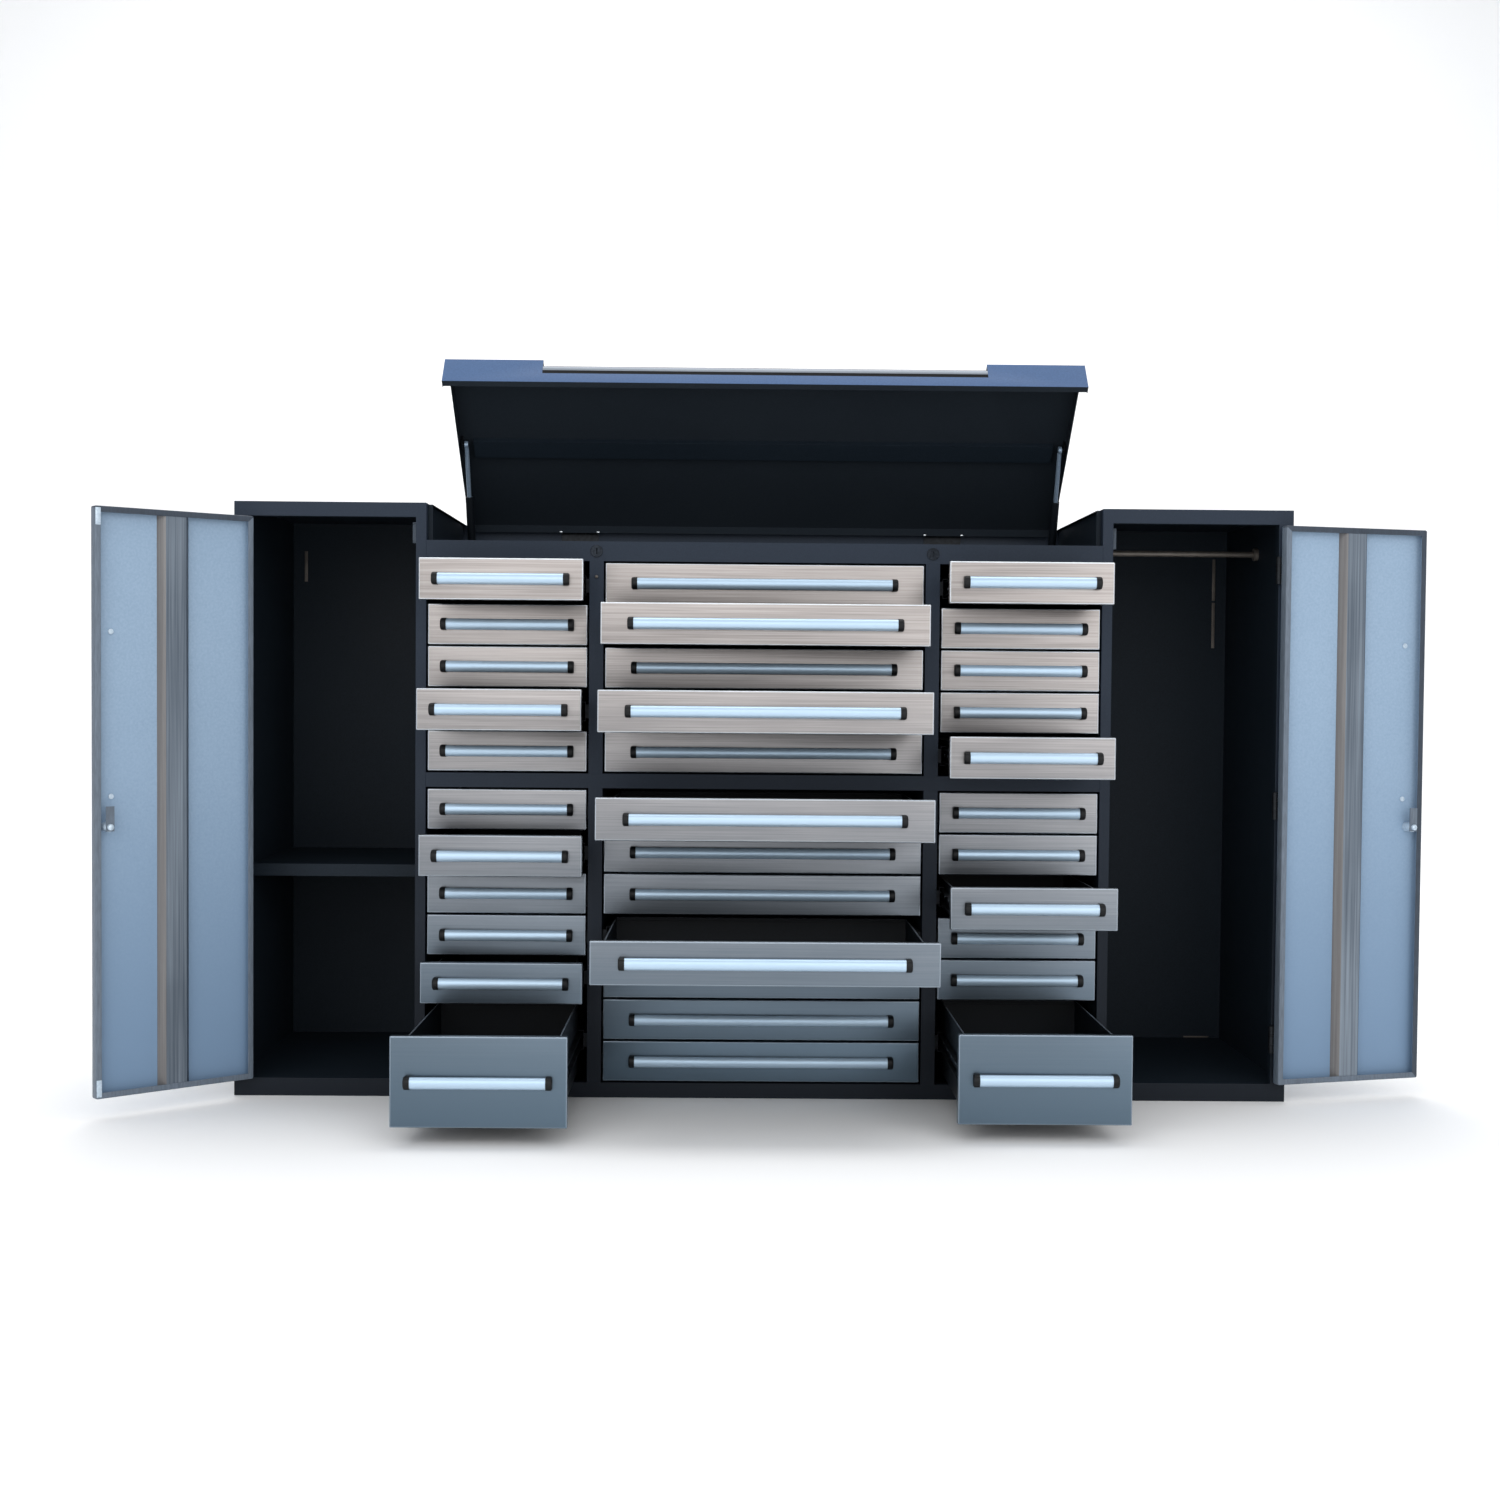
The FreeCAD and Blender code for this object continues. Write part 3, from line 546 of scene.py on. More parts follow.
class Palette:
    """Every finish of the chest, each built once."""

    def __init__(self) -> None:
        """Builds the materials."""
        # Stainless steel brushed along the width: long fine scratches that smear highlights
        # sideways. A scratch is under 0.1 mm, too fine to show, so the grain is drawn 2 mm high.
        # Below 0.9 m its colour turns to a darker blue-grey: painted shade and darker painted reflection on
        # the lower fronts.
        self.stainless = Finish(
            "stainless_brushed", "#b0aaa7", "#8d8784", 1.0, 0.38, 0.03,
            (0.22, 0.22, 0.0022), 0.00003, 0.3, 0.5, "#5c6d7b", 0.9,
        ).build()
        # The fronts' bends: a thin pale line round each front, painted highlight where the bends catch the
        # light; below 1 m it darkens as painted shade.
        self.stainless_bend_highlight = Finish(
            "stainless_bend_highlight", "#e6e9ec", "#ccd2d8", 1.0, 0.45, 0.03,
            (0.05, 0.05, 0.003), 0.00001, 0.3, 0.5, "#8795a2", 1.0,
        ).build()
        # Extruded aluminium, satin anodised: pale and cool, softly graded round its bow.
        self.aluminium = Finish(
            "aluminium_satin_anodised", "#bed4e6", "#b3cbe0", 0.55, 0.42, 0.03,
            (0.4, 0.004, 0.004), 0.00001, 0.3,
        ).build()
        # Moulded ABS in black: slight grain, soft sheen.
        self.abs_black = Finish(
            "abs_moulded_black", "#0f1114", "#08090b", 0.0, 0.45, 0.06,
            (0.0012, 0.0012, 0.0012), 0.00005, 0.05, 0.25,
        ).build()
        # Powder coat in dark slate blue: satin with fine orange peel, drawn 2 mm wide.
        # Below 0.9 m it darkens to near black: painted shade near the floor.
        self.slate_coat = Finish(
            "powder_coat_slate", "#27313f", "#202a37", 0.0, 0.5, 0.05,
            (0.002, 0.002, 0.002), 0.00004, 0.3, 0.2, "#101720", 0.9,
        ).build()
        # The same coat on inside faces, painted darker as painted shade, and drier.
        self.inner_coat_painted_shade = Finish(
            "powder_coat_inside_painted_shade", "#1d262f", "#161e26", 0.0, 0.55, 0.05,
            (0.002, 0.002, 0.002), 0.00004, 0.3, 0.15,
        ).build()
        # Inside the lid: charcoal painted shade, slightly warmer and drier than the lockers'.
        self.lid_inside_painted_shade = Finish(
            "powder_coat_lid_inside_shade", "#262d34", "#20262d", 0.0, 0.6, 0.05,
            (0.002, 0.002, 0.002), 0.00004, 0.3, 0.15,
        ).build()
        # Powder coat in pale steel blue inside the doors: satin, slightly mottled.
        # Below 0.8 m it darkens to a deeper blue: painted shade near the floor.
        self.door_coat = Finish(
            "powder_coat_steel_blue", "#97adc3", "#8ba2b9", 0.0, 0.5, 0.05,
            (0.004, 0.004, 0.004), 0.00003, 0.25, 0.2, "#748da8", 0.8,
        ).build()
        # Its folded edges: a greyer, darker tone than the coat.
        self.door_edge = Finish(
            "powder_coat_edge_grey", "#6d7885", "#5a646f", 0.1, 0.45, 0.05,
            (0.003, 0.003, 0.02), 0.00003, 0.15, 0.3,
        ).build()
        # Top and free folds that turn away from the light: the same coat, darker.
        self.door_shadow_edge = Finish(
            "powder_coat_edge_dark", "#3f4854", "#343c46", 0.0, 0.45, 0.05,
            (0.003, 0.003, 0.02), 0.00003, 0.15, 0.3,
        ).build()
        # Galvanised hat section of the doors: grey with soft upright draw lines.
        self.galvanised = Finish(
            "steel_galvanised", "#828d98", "#505a66", 0.4, 0.4, 0.08,
            (0.004, 0.004, 0.3), 0.00003, 0.35,
        ).build()
        # One flank of it, lighter and warmer: painted light where it faces the light.
        self.galvanised_lit_flank = Finish(
            "steel_galvanised_warm", "#82807f", "#6a6868", 0.4, 0.4, 0.05,
            (0.004, 0.004, 0.3), 0.00003, 0.35,
        ).build()
        # Its other flank, darker: painted shade where it is turned from the light.
        self.galvanised_shaded_flank = Finish(
            "steel_galvanised_dark", "#4c535d", "#3f454e", 0.3, 0.45, 0.05,
            (0.004, 0.004, 0.3), 0.00003, 0.1,
        ).build()
        # Powder coat in mid blue outside the lid, painted brighter and bluer as sky reflection.
        self.lid_coat_painted_sky = Finish(
            "powder_coat_blue_painted_sky", "#3c5b84", "#334f77", 0.0, 0.45, 0.05,
            (0.003, 0.003, 0.003), 0.00004, 0.25, 0.2,
        ).build()
        # Tray enamel: near black, dull.
        self.tray_enamel = Finish(
            "enamel_black", "#0c131a", "#080d13", 0.0, 0.5, 0.06,
            (0.003, 0.003, 0.003), 0.00004, 0.1, 0.25,
        ).build()
        # Zinc plate on tray hems and rivets: pale, slightly cloudy metal.
        self.zinc = Finish(
            "steel_zinc_plated", "#9aa2ab", "#7f8790", 0.8, 0.38, 0.06,
            (0.01, 0.01, 0.01), 0.00002, 0.04,
        ).build()
        # Bright zinc on plates, screws and barrels inside the doors: nearly white under open light.
        self.zinc_bright = Finish(
            "steel_zinc_bright", "#cfdeea", "#aebfce", 0.3, 0.3, 0.05,
            (0.004, 0.004, 0.004), 0.00002, 0.03,
        ).build()
        # Blackened steel on slides and hinge leaves: dark with worn grey spots.
        self.black_oxide = Finish(
            "steel_black_oxide", "#26292d", "#15171a", 0.6, 0.4, 0.08,
            (0.006, 0.02, 0.006), 0.00003, 0.05, 0.3,
        ).build()
        # Black nickel on the drawer locks: deep, with small sharp highlights.
        self.black_nickel = Finish(
            "steel_black_nickel", "#2c3036", "#1b1e22", 1.0, 0.25, 0.05,
            (0.004, 0.004, 0.004), 0.00001, 0.02,
        ).build()
        # Chromium plate on the hinge pins' heads: bright, sharp reflections.
        self.chrome = Finish(
            "steel_chromed", "#d5dade", "#c3c9ce", 1.0, 0.16, 0.03,
            (0.02, 0.02, 0.02), 0.00001, 0.03,
        ).build()
        # Dull nickel on the hanging rod, and on the pale strips at the lockers' backs that are painted light
        # for light through slits there.
        self.dull_nickel = Finish(
            "steel_dull_nickel", "#77716b", "#5f5a55", 0.6, 0.5, 0.06,
            (0.02, 0.004, 0.02), 0.00002, 0.05,
        ).build()
        # Ground and chromed strut rods: pale blue-grey under open light, finely ringed.
        self.rod_chrome = Finish(
            "steel_rod_chromed", "#8fa3b6", "#7c90a4", 0.4, 0.35, 0.04,
            (0.003, 0.003, 0.003), 0.00002, 0.05,
        ).build()
        # Brushed steel of the lid's pull bar: mid grey with fine lines along it.
        self.bar_steel = Finish(
            "steel_bar_brushed", "#8b929b", "#777e88", 0.3, 0.4, 0.04,
            (0.3, 0.003, 0.003), 0.00002, 0.2, 0.4,
        ).build()
        # Moulded nylon of the door catches: cool mid grey.
        self.nylon = Finish(
            "nylon_grey", "#4c5763", "#3f4954", 0.0, 0.5, 0.05,
            (0.002, 0.002, 0.002), 0.00004, 0.05, 0.3,
        ).build()


# ------------------------------------------------------------------ drawers


@dataclass
class Pull:
    """Half-round bar between two moulded end caps."""

    share: float = 0.835
    height: float = 19.0 * MM
    reach: float = 15.5 * MM
    wall: float = 2.0 * MM
    cap: float = 10.0 * MM
    proud: float = 1.0 * MM
    root_share: float = 0.5
    steps: int = 13

    def bow(self, half: float, sag: float, z: np.ndarray) -> np.ndarray:
        """Reach at height z of a half ellipse: sag times the root of 1 less (z / half) squared."""
        return sag * np.sqrt(np.maximum(1 - (z / half) ** 2, 0))

    def rise(self, half: float) -> np.ndarray:
        """Heights from foot to top, closer together towards the ends, as the sine of equal turns."""
        return half * np.sin(np.linspace(-math.pi / 2, math.pi / 2, self.steps))

    def bar(self, length: float) -> Surface:
        """Bowed grip with its open finger slot upwards, centred, standing out along -Y."""
        half, root = self.height / 2, self.reach * self.root_share
        sag = self.reach - root
        outer = self.rise(half)
        inner = self.rise(half - self.wall / 2)[::-1]
        outline = np.vstack(
            [
                [0.0, -half],
                np.column_stack([-(root + self.bow(half, sag, outer)), outer]),
                np.column_stack([-(root - self.wall + self.bow(half - self.wall / 2, sag, inner)), inner]),
                [0.0, -half + self.wall],
            ]
        )
        inside = length / 2 - self.cap
        return extrusion(outline, [(-inside, 1.0), (inside, 1.0)])

    def end_cap(self, side: int, length: float) -> Surface:
        """Moulded cap with a rounded outer end on one side."""
        half = self.height / 2 + self.proud
        root = self.reach * self.root_share
        z = self.rise(half)
        bowed = np.column_stack([-(root + self.bow(half, self.reach - root + self.proud, z)), z])
        outline = np.vstack([[0.0, -half], bowed, [0.0, half]])
        end, soft = length / 2, 3.0 * MM
        turn = np.radians(np.linspace(0, 80, 4))
        stations = [(side * (end - self.cap), 1.0)]
        stations += [(side * (end - soft + soft * math.sin(a)), 1 - 0.3 * (1 - math.cos(a))) for a in turn]
        return extrusion(outline, stations)


@dataclass
class Drawer:
    """One drawer: front, tray with hemmed rim, pull, and the two members that run with it."""

    palette: Palette
    skin: float = 1.2 * MM
    fold: float = 12.0 * MM
    bend_radius: float = 2.0 * MM
    corner: float = 1.6 * MM
    tray_inset: float = 16.3 * MM
    tray_rise: float = 5.0 * MM
    tray_drop: float = 12.0 * MM
    tray_length: float = 424.3 * MM
    tray_corner: float = 3.0 * MM
    hem: float = 6.0 * MM
    runner_height: float = 24.0 * MM
    runner_reach: float = 9.0 * MM
    runner_start: float = 16.0 * MM
    runner_length: float = 400.3 * MM
    rivet: float = 4.0 * MM
    rivet_first: float = 22.0 * MM
    rivet_pitch: float = 62.0 * MM
    pull: Pull = field(default_factory=Pull)

    def build(self, node: str) -> None:
        """Makes the drawer's pieces in the place of its CAD node."""
        low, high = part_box(node)
        middle = (low + high) / 2
        face = low.y + self.pull.reach + self.pull.proud
        width, height = high.x - low.x, high.z - low.z
        length = width * self.pull.share
        look = self.palette
        caps = self.pull.end_cap(1, length) + self.pull.end_cap(-1, length)
        steel = [look.stainless, look.stainless_bend_highlight]
        sections = {
            "front": (self.front(width, height), steel, "stainless_front"),
            "tray": (self.tray(width, height), [look.tray_enamel, look.zinc], "carcass_paint"),
            "pull": (self.pull.bar(length), [look.aluminium], "pull_aluminium"),
            "pull_caps": (caps, [look.abs_black], "catch_plastic"),
            "runners": (self.runners(width, height), [look.black_oxide, look.zinc], "slide_steel"),
        }
        for part, (surface, finishes, slot) in sections.items():
            placed = surface.shifted(middle.x, face, middle.z)
            Piece.make(node + "_" + part, placed, finishes, node, slot, [node])

    def front(self, width: float, height: float) -> Surface:
        """Folded front, face at y = 0: inner floor, fold, bend and face in one run."""
        t, r, d = self.skin, self.bend_radius, self.fold
        section = [(t, t), (t, d), (0.0, d), (0.0, r)] + bend(r, r, r, 180, 270)[1:]
        # The bend's bands take finish 1, the painted highlight; the face keeps the plain steel.
        shape = pan(width / 2, height / 2, self.corner, section, [0, 0, 0, 1, 1, 1]).swapped("xzy")
        shape.finish[-1] = 0
        return shape

    def tray(self, width: float, height: float) -> Surface:
        """Open tray with a hem folded inwards: floor, inner wall, hem, outer wall, base."""
        t = self.skin
        top = height - self.tray_drop - self.tray_rise
        soft = 0.5 * MM
        section = [
            (t, t),
            (t, top - self.hem),
            (2 * t, top - self.hem + soft),
            (2 * t, top - soft),
            (2 * t - soft, top),
            (soft, top),
            (0.0, top - soft),
            (0.0, 2 * MM),
            (0.6 * MM, 0.6 * MM),
            (2 * MM, 0.0),
        ]
        hem_bands = [0, 0, 0, 1, 1, 1, 0, 0, 0]
        half_x, half_y = width / 2 - self.tray_inset, self.tray_length / 2
        shell = pan(half_x, half_y, self.tray_corner, section, hem_bands)
        return shell.shifted(0, t + self.tray_length / 2, self.tray_rise - height / 2)

    def runners(self, width: float, height: float) -> Surface:
        """Both inner slide members: a C section along Y with rivet heads along the web."""
        level = (self.tray_rise - self.tray_drop) / 2
        half, wall = self.runner_height / 2, self.skin
        start, end = self.runner_start, self.runner_start + self.runner_length
        edge = width / 2 - self.tray_inset
        reach = edge + self.runner_reach
        outline = np.array(
            [
                (edge, -half),
                (reach, -half),
                (reach, -half + wall),
                (edge + wall, -half + wall),
                (edge + wall, half - wall),
                (reach, half - wall),
                (reach, half),
                (edge, half),
            ]
        )
        right = extrusion(outline, [(start, 1.0), (end, 1.0)]).swapped("yxz").shifted(0, 0, level)
        head = turned_bar([(0, self.rivet), (1.0 * MM, self.rivet), (1.6 * MM, 0.6 * self.rivet)], 12)
        for y in np.arange(start + self.rivet_first, end, self.rivet_pitch):
            right = right + head.shifted(edge + wall, y, level).painted(1)
        return right + right.mirrored()


# ------------------------------------------------------------------ carcass


class Side(Enum):
    """Left or right of the chest, as the sign of X."""

    LEFT = -1
    RIGHT = 1

    @property
    def word(self) -> str:
        """The side's name in node names."""
        return self.name.lower()


@dataclass
class Carcass:
    """Fixed steelwork: lockers, frame, dividers, back, chest pan, shelf, rod, rails, catches."""

    palette: Palette
    body: str = "cabinet"
    fold_mm: float = 1.0
    front: float = -228.5 * MM
    back: float = 228.5 * MM
    sheet: float = 1.5 * MM
    bay: float = 584.0 * MM
    outer: float = 914.5 * MM
    top: float = 1029.0 * MM
    slit_light_at: float = 888.5 * MM
    slit_light_width: float = 6.0 * MM
    slit_light_proud: float = 0.8 * MM
    slit_light_left: tuple[float, float] = (0.915, 0.974)
    slit_light_right: tuple[float, float] = (0.893, 0.974)
    slit_light_right_low: tuple[float, float] = (0.80, 0.889)
    slit_light_level: tuple[float, float, float, float] = (0.8425, 0.892, 0.0312, 0.0342)
    hinge_at: float = 354.0 * MM
    hinge_length: float = 72.0 * MM
    pin_level: float = 1014.5 * MM
    pin_depth: float = 209.0 * MM
    pin_head: float = 3.6 * MM
    post_at: float = 290.5 * MM
    stud_level: float = 904.0 * MM

    def build(self) -> None:
        """Makes every fixed piece."""
        look = self.palette
        coats = [look.slate_coat, look.inner_coat_painted_shade]
        for side in Side:
            self.copy(side.word + "_locker_shell", coats, "carcass_paint", self.fold_mm, self.locker_shade_tone)
        plain = {
            "front_frame": (look.slate_coat, "carcass_paint", 0.8),
            "back_panel": (look.slate_coat, "carcass_paint", 0.4),
            # Inside parts take the inner coat: the slate coat painted darker as shade.
            "cabinet_shell": (look.inner_coat_painted_shade, "carcass_paint", 0.4),
            "column_dividers": (look.inner_coat_painted_shade, "inner_paint", 0.4),
            "chest_pan": (look.inner_coat_painted_shade, "inner_paint", 0.6),
            "locker_shelf": (look.inner_coat_painted_shade, "inner_paint", 0.5),
            "hanging_rod": (look.dull_nickel, "rod_steel", 0.5),
            "drawer_slide_rails": (look.black_oxide, "slide_steel", 0.3),
            "door_catches": (look.nylon, "catch_plastic", 0.8),
            "hinge_hardware": (look.black_oxide, "hinge_steel", 0.4),
        }
        for node, (finish, slot, radius_mm) in plain.items():
            self.copy(node, [finish], slot, radius_mm)
        self.painted_slit_light()
        self.pin_heads()

    def copy(
        self,
        node: str,
        finishes: Sequence[bpy.types.Material],
        slot: str,
        radius_mm: float,
        choose: Callable[[Face], int] | None = None,
    ) -> None:
        """Dresses one CAD node, its edges rounded."""
        Piece.softened(node, node + "_body", finishes, self.body, slot, radius_mm * MM, choose)

    def locker_shade_tone(self, face: Face) -> int:
        """Outside faces of a locker keep the outside coat; the rest take the inner one, painted darker as
        shade.
        """
        x, y, z = abs(face.centre.x), face.centre.y, face.centre.z
        near = 0.3 * MM
        outside = (
            y < self.front + near
            or y > self.back - near
            or z > self.top - near
            or x > self.outer - near
            or (x < self.bay + near and face.normal.x * face.centre.x < 0)
        )
        return 0 if outside else 1

    def painted_slit_light(self) -> None:
        """Pale strips where each locker's back meets its folded side, painted light for light through slits
        there: thin upright and level strips.
        """
        half = self.slit_light_width / 2
        upright = {Side.LEFT: [self.slit_light_left], Side.RIGHT: [self.slit_light_right, self.slit_light_right_low]}
        for side, heights in upright.items():
            x = side.value * self.slit_light_at
            strips = [self.strip(x - half, x + half, low, high) for low, high in heights]
            if side is Side.RIGHT:
                strips.append(self.strip(*self.slit_light_level))
            node = side.word + "_locker_shell"
            finish = [self.palette.dull_nickel]
            Piece.make(node + "_laps", gather(strips), finish, self.body, "hinge_steel", [node])

    def strip(self, left: float, right: float, low: float, high: float) -> Surface:
        """One strip of painted slit light on the inside of the back, between two places and two heights."""
        y = self.back - self.sheet
        return block((left, y - self.slit_light_proud, low), (right, y, high), 0.2 * MM)

    def pin_heads(self) -> None:
        """Polished heads of the lid hinges' pins, and the stop stud under the left drawer lock."""
        dome = [(0.0, 0.6), (0.3, 1.0), (0.7, 1.0), (1.3, 0.8), (1.6, 0.3)]
        profile = [(a * self.pin_head, b * self.pin_head) for a, b in dome]
        head = turned_bar(profile, 14).mapped(lambda p: p[:, [1, 0, 2]] * np.array([1, -1, 1]))
        ends = [at + end * self.hinge_length for at in (-self.hinge_at, self.hinge_at) for end in (-0.5, 0.5)]
        heads = gather([head.shifted(x, self.pin_depth, self.pin_level) for x in ends])
        look, body = self.palette, self.body
        Piece.make("lid_hinge_pin_heads", heads, [look.chrome], body, "hinge_steel", ["hinge_hardware"])
        stud = head.mapped(lambda p: p * 0.8).shifted(-self.post_at, self.front, self.stud_level)
        Piece.make("lock_stop_stud", stud, [look.dull_nickel], body, "hinge_steel", ["front_frame"])


@dataclass
class Doors:
    """Locker doors with stiffener, hinge leaves, outside handle, lock and striker plates.

    They are drawn shut on the right-hand side, then swung open and mirrored for the left.
    """

    palette: Palette
    inner: float = 607.0 * MM
    outer: float = 886.5 * MM
    low: float = 34.0 * MM
    high: float = 1001.0 * MM
    face: float = -228.5 * MM
    thick: float = 16.0 * MM
    lip: float = 10.0 * MM
    skin: float = 1.2 * MM
    bend_radius: float = 1.6 * MM
    hat_width: float = 56.0 * MM
    hat_flank: float = 10.0 * MM
    hinge_x: float = 888.0 * MM
    hinge_y: float = -234.5 * MM
    open_left: float = 139.5
    open_right: float = 196.0
    plate_height: float = 28.0 * MM
    lock_edge: float = 22.0 * MM
    lock_level: float = 479.0 * MM
    cam_back: float = 23.5 * MM
    nut_radius: float = 5.5 * MM
    leaf_height: float = 60.0 * MM
    cam_start: float = 9.0 * MM
    bar_least: float = 100.0 * MM
    screw_most: float = 9.5 * MM

    def build(self) -> None:
        """Makes both doors' pieces."""
        look = self.palette
        bright = [look.zinc_bright]
        coats = [look.door_coat, look.door_edge, look.door_shadow_edge]
        plating = [look.galvanised, look.galvanised_lit_flank, look.galvanised_shaded_flank]
        plates = self.swung(self.plates(), Side.LEFT)
        Piece.make("left_door_strikers", plates, bright, "left_door", "lock_chrome", ["left_door_panel"])
        for side in Side:
            body = side.word + "_door"
            panel, lock = body + "_panel", body + "_lock"
            shell, hat = self.swung(self.pan(side), side), self.swung(self.hat(side), side)
            Piece.make(body + "_pan", shell, coats, body, "door_paint", [panel])
            Piece.make(body + "_stiffener", hat, plating, body, "door_paint", [panel])
            self.leaves(body, panel)
            Piece.softened(
                body + "_handle",
                body + "_pull",
                [look.aluminium, look.abs_black, look.zinc_bright],
                body,
                "pull_aluminium",
                0.5 * MM,
                self.handle_tone,
            )
            pair = [look.zinc_bright, look.door_edge]
            Piece.softened(lock, lock + "_plug", pair, lock, "lock_chrome", 0.5 * MM, self.lock_tone)
            Piece.make(lock + "_nut", self.swung(self.nut(), side), bright, lock, "lock_chrome", [lock])
            knob = side.word + "_drawer_lock"
            Piece.softened(knob, knob + "_plug", [look.black_nickel], knob, "lock_chrome", 0.5 * MM)

    def swung(self, shape: Surface, side: Side) -> Surface:
        """A shut right-hand shape in its stored place on one side."""
        pivot = Vector((self.hinge_x, self.hinge_y, 0))
        degrees = self.open_right if side is Side.RIGHT else self.open_left
        turned = shape.turned(pivot, "Z", degrees)
        return turned if side is Side.RIGHT else turned.mirrored()

    def pan(self, side: Side) -> Surface:
        """Folded door pan: inner face, inner wall, lip, bend and outer face in one run."""
        t, r, d = self.skin, self.bend_radius, self.thick
        section = [(t, t), (t, d - t), (self.lip, d - t), (self.lip, d - 0.3 * MM), (self.lip - 0.3 * MM, d)]
        section += [(r, d)] + bend(r, d - r, r, 90, 180)[1:]
        section += [(0.0, r)] + bend(r, r, r, 180, 270)[1:]
        half_x, half_z = (self.outer - self.inner) / 2, (self.high - self.low) / 2
        bands = [0, 1, 1, 1] + [1] * (len(section) - 5)
        shape = pan(half_x, half_z, 2 * self.bend_radius, section, bands).swapped("xzy")
        shape = shape.shifted((self.inner + self.outer) / 2, self.face, (self.low + self.high) / 2)
        edge = np.array(shape.finish)

        def tone(centre: np.ndarray) -> np.ndarray:
            """Edge grey on lips, painted shade on the top one and the right door's free one, coat elsewhere.
            """
            shade = centre[:, 2] > self.high - self.lip
            if side is Side.RIGHT:
                shade |= centre[:, 0] < self.inner + self.lip
            outside = centre[:, 1] < self.face + 2 * r
            return np.where(outside, 0, np.where((edge == 1) & shade, 2, edge))

        return shape.painted_by(tone)

    def hat(self, side: Side) -> Surface:
        """Hat section along the door's middle, its flanks leaning inwards."""
        half, lean, t = self.hat_width / 2, self.hat_flank, self.skin
        foot, crown = self.face + t, self.face + self.thick - t
        outline = np.array(
            [
                (-half, foot),
                (-half + lean - 1.5 * MM, crown - 1 * MM),
                (-half + lean, crown),
                (half - lean, crown),
                (half - lean + 1.5 * MM, crown - 1 * MM),
                (half, foot),
                (half - 2 * t, foot),
                (half - lean - t, crown - t),
                (-half + lean + t, crown - t),
                (-half + 2 * t, foot),
            ]
        )
        ends = [(self.low + 2 * MM, 1.0), (self.high - 2 * MM, 1.0)]
        centre = (self.inner + self.outer) / 2
        shape = extrusion(outline, ends).swapped("yzx").shifted(centre, 0, 0)
        lit_flank_towards_hinge = side is Side.RIGHT
        flat = half - lean

        def tone(face: np.ndarray) -> np.ndarray:
            """Plain crown, painted light on one flank and painted shade on the other."""
            lit_side = np.where(face[:, 0] > centre, lit_flank_towards_hinge, not lit_flank_towards_hinge)
            return np.where(np.abs(face[:, 0] - centre) < flat, 0, np.where(lit_side, 1, 2))

        return shape.painted_by(tone)

    def plates(self) -> Surface:
        """Two bright plates on the lip of the free edge, near its top and foot."""
        back = self.face + self.thick
        low = np.array([self.inner + 1.2 * MM, back - 1 * MM, 0])
        high = np.array([self.inner + self.lip, back, self.plate_height])
        plate = block(low, high, 0.3 * MM)
        top, foot = self.high - self.plate_height - 3 * MM, self.low + 3 * MM
        return plate.shifted(0, 0.4 * MM, top) + plate.shifted(0, 0.4 * MM, foot)

    def nut(self) -> Surface:
        """Domed nut that holds the cam on the lock's barrel."""
        r = self.nut_radius
        profile = [(0.0, r), (0.4 * r, r), (0.7 * r, 0.85 * r), (0.85 * r, 0.5 * r)]
        shape = turned_bar(profile, 12).swapped("yxz")
        return shape.shifted(self.inner + self.lock_edge, self.face + self.cam_back, self.lock_level)

    def leaves(self, body: str, panel: str) -> None:
        """Moving hinge leaves, kept from the CAD node without its pan and hat."""
        work = Piece.merged(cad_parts[panel].data)
        keep = []
        for part in Piece.loose_parts(work):
            heights = [v.co.z for face in part for v in face.verts]
            if max(heights) - min(heights) < self.leaf_height:
                keep += part
        verts = sorted({v.index for face in keep for v in face.verts})
        place = {index: n for n, index in enumerate(verts)}
        work.verts.ensure_lookup_table()
        points = np.array([work.verts[i].co for i in verts])
        faces = [tuple(place[v.index] for v in face.verts) for face in keep]
        work.free()
        shape = Surface(points, faces, [0] * len(faces))
        Piece.make(body + "_hinge_leaves", shape, [self.palette.black_oxide], body, "hinge_steel", [panel])

    def handle_tone(self, face: Face) -> int:
        """Bar, cap or screw, by the height of the loose part."""
        if face.part.z > self.bar_least:
            return 0
        return 2 if face.part.z < self.screw_most else 1

    def lock_tone(self, face: Face) -> int:
        """Bright barrel, grey cam."""
        return 1 if abs(face.centre.z - self.lock_level) > self.cam_start else 0


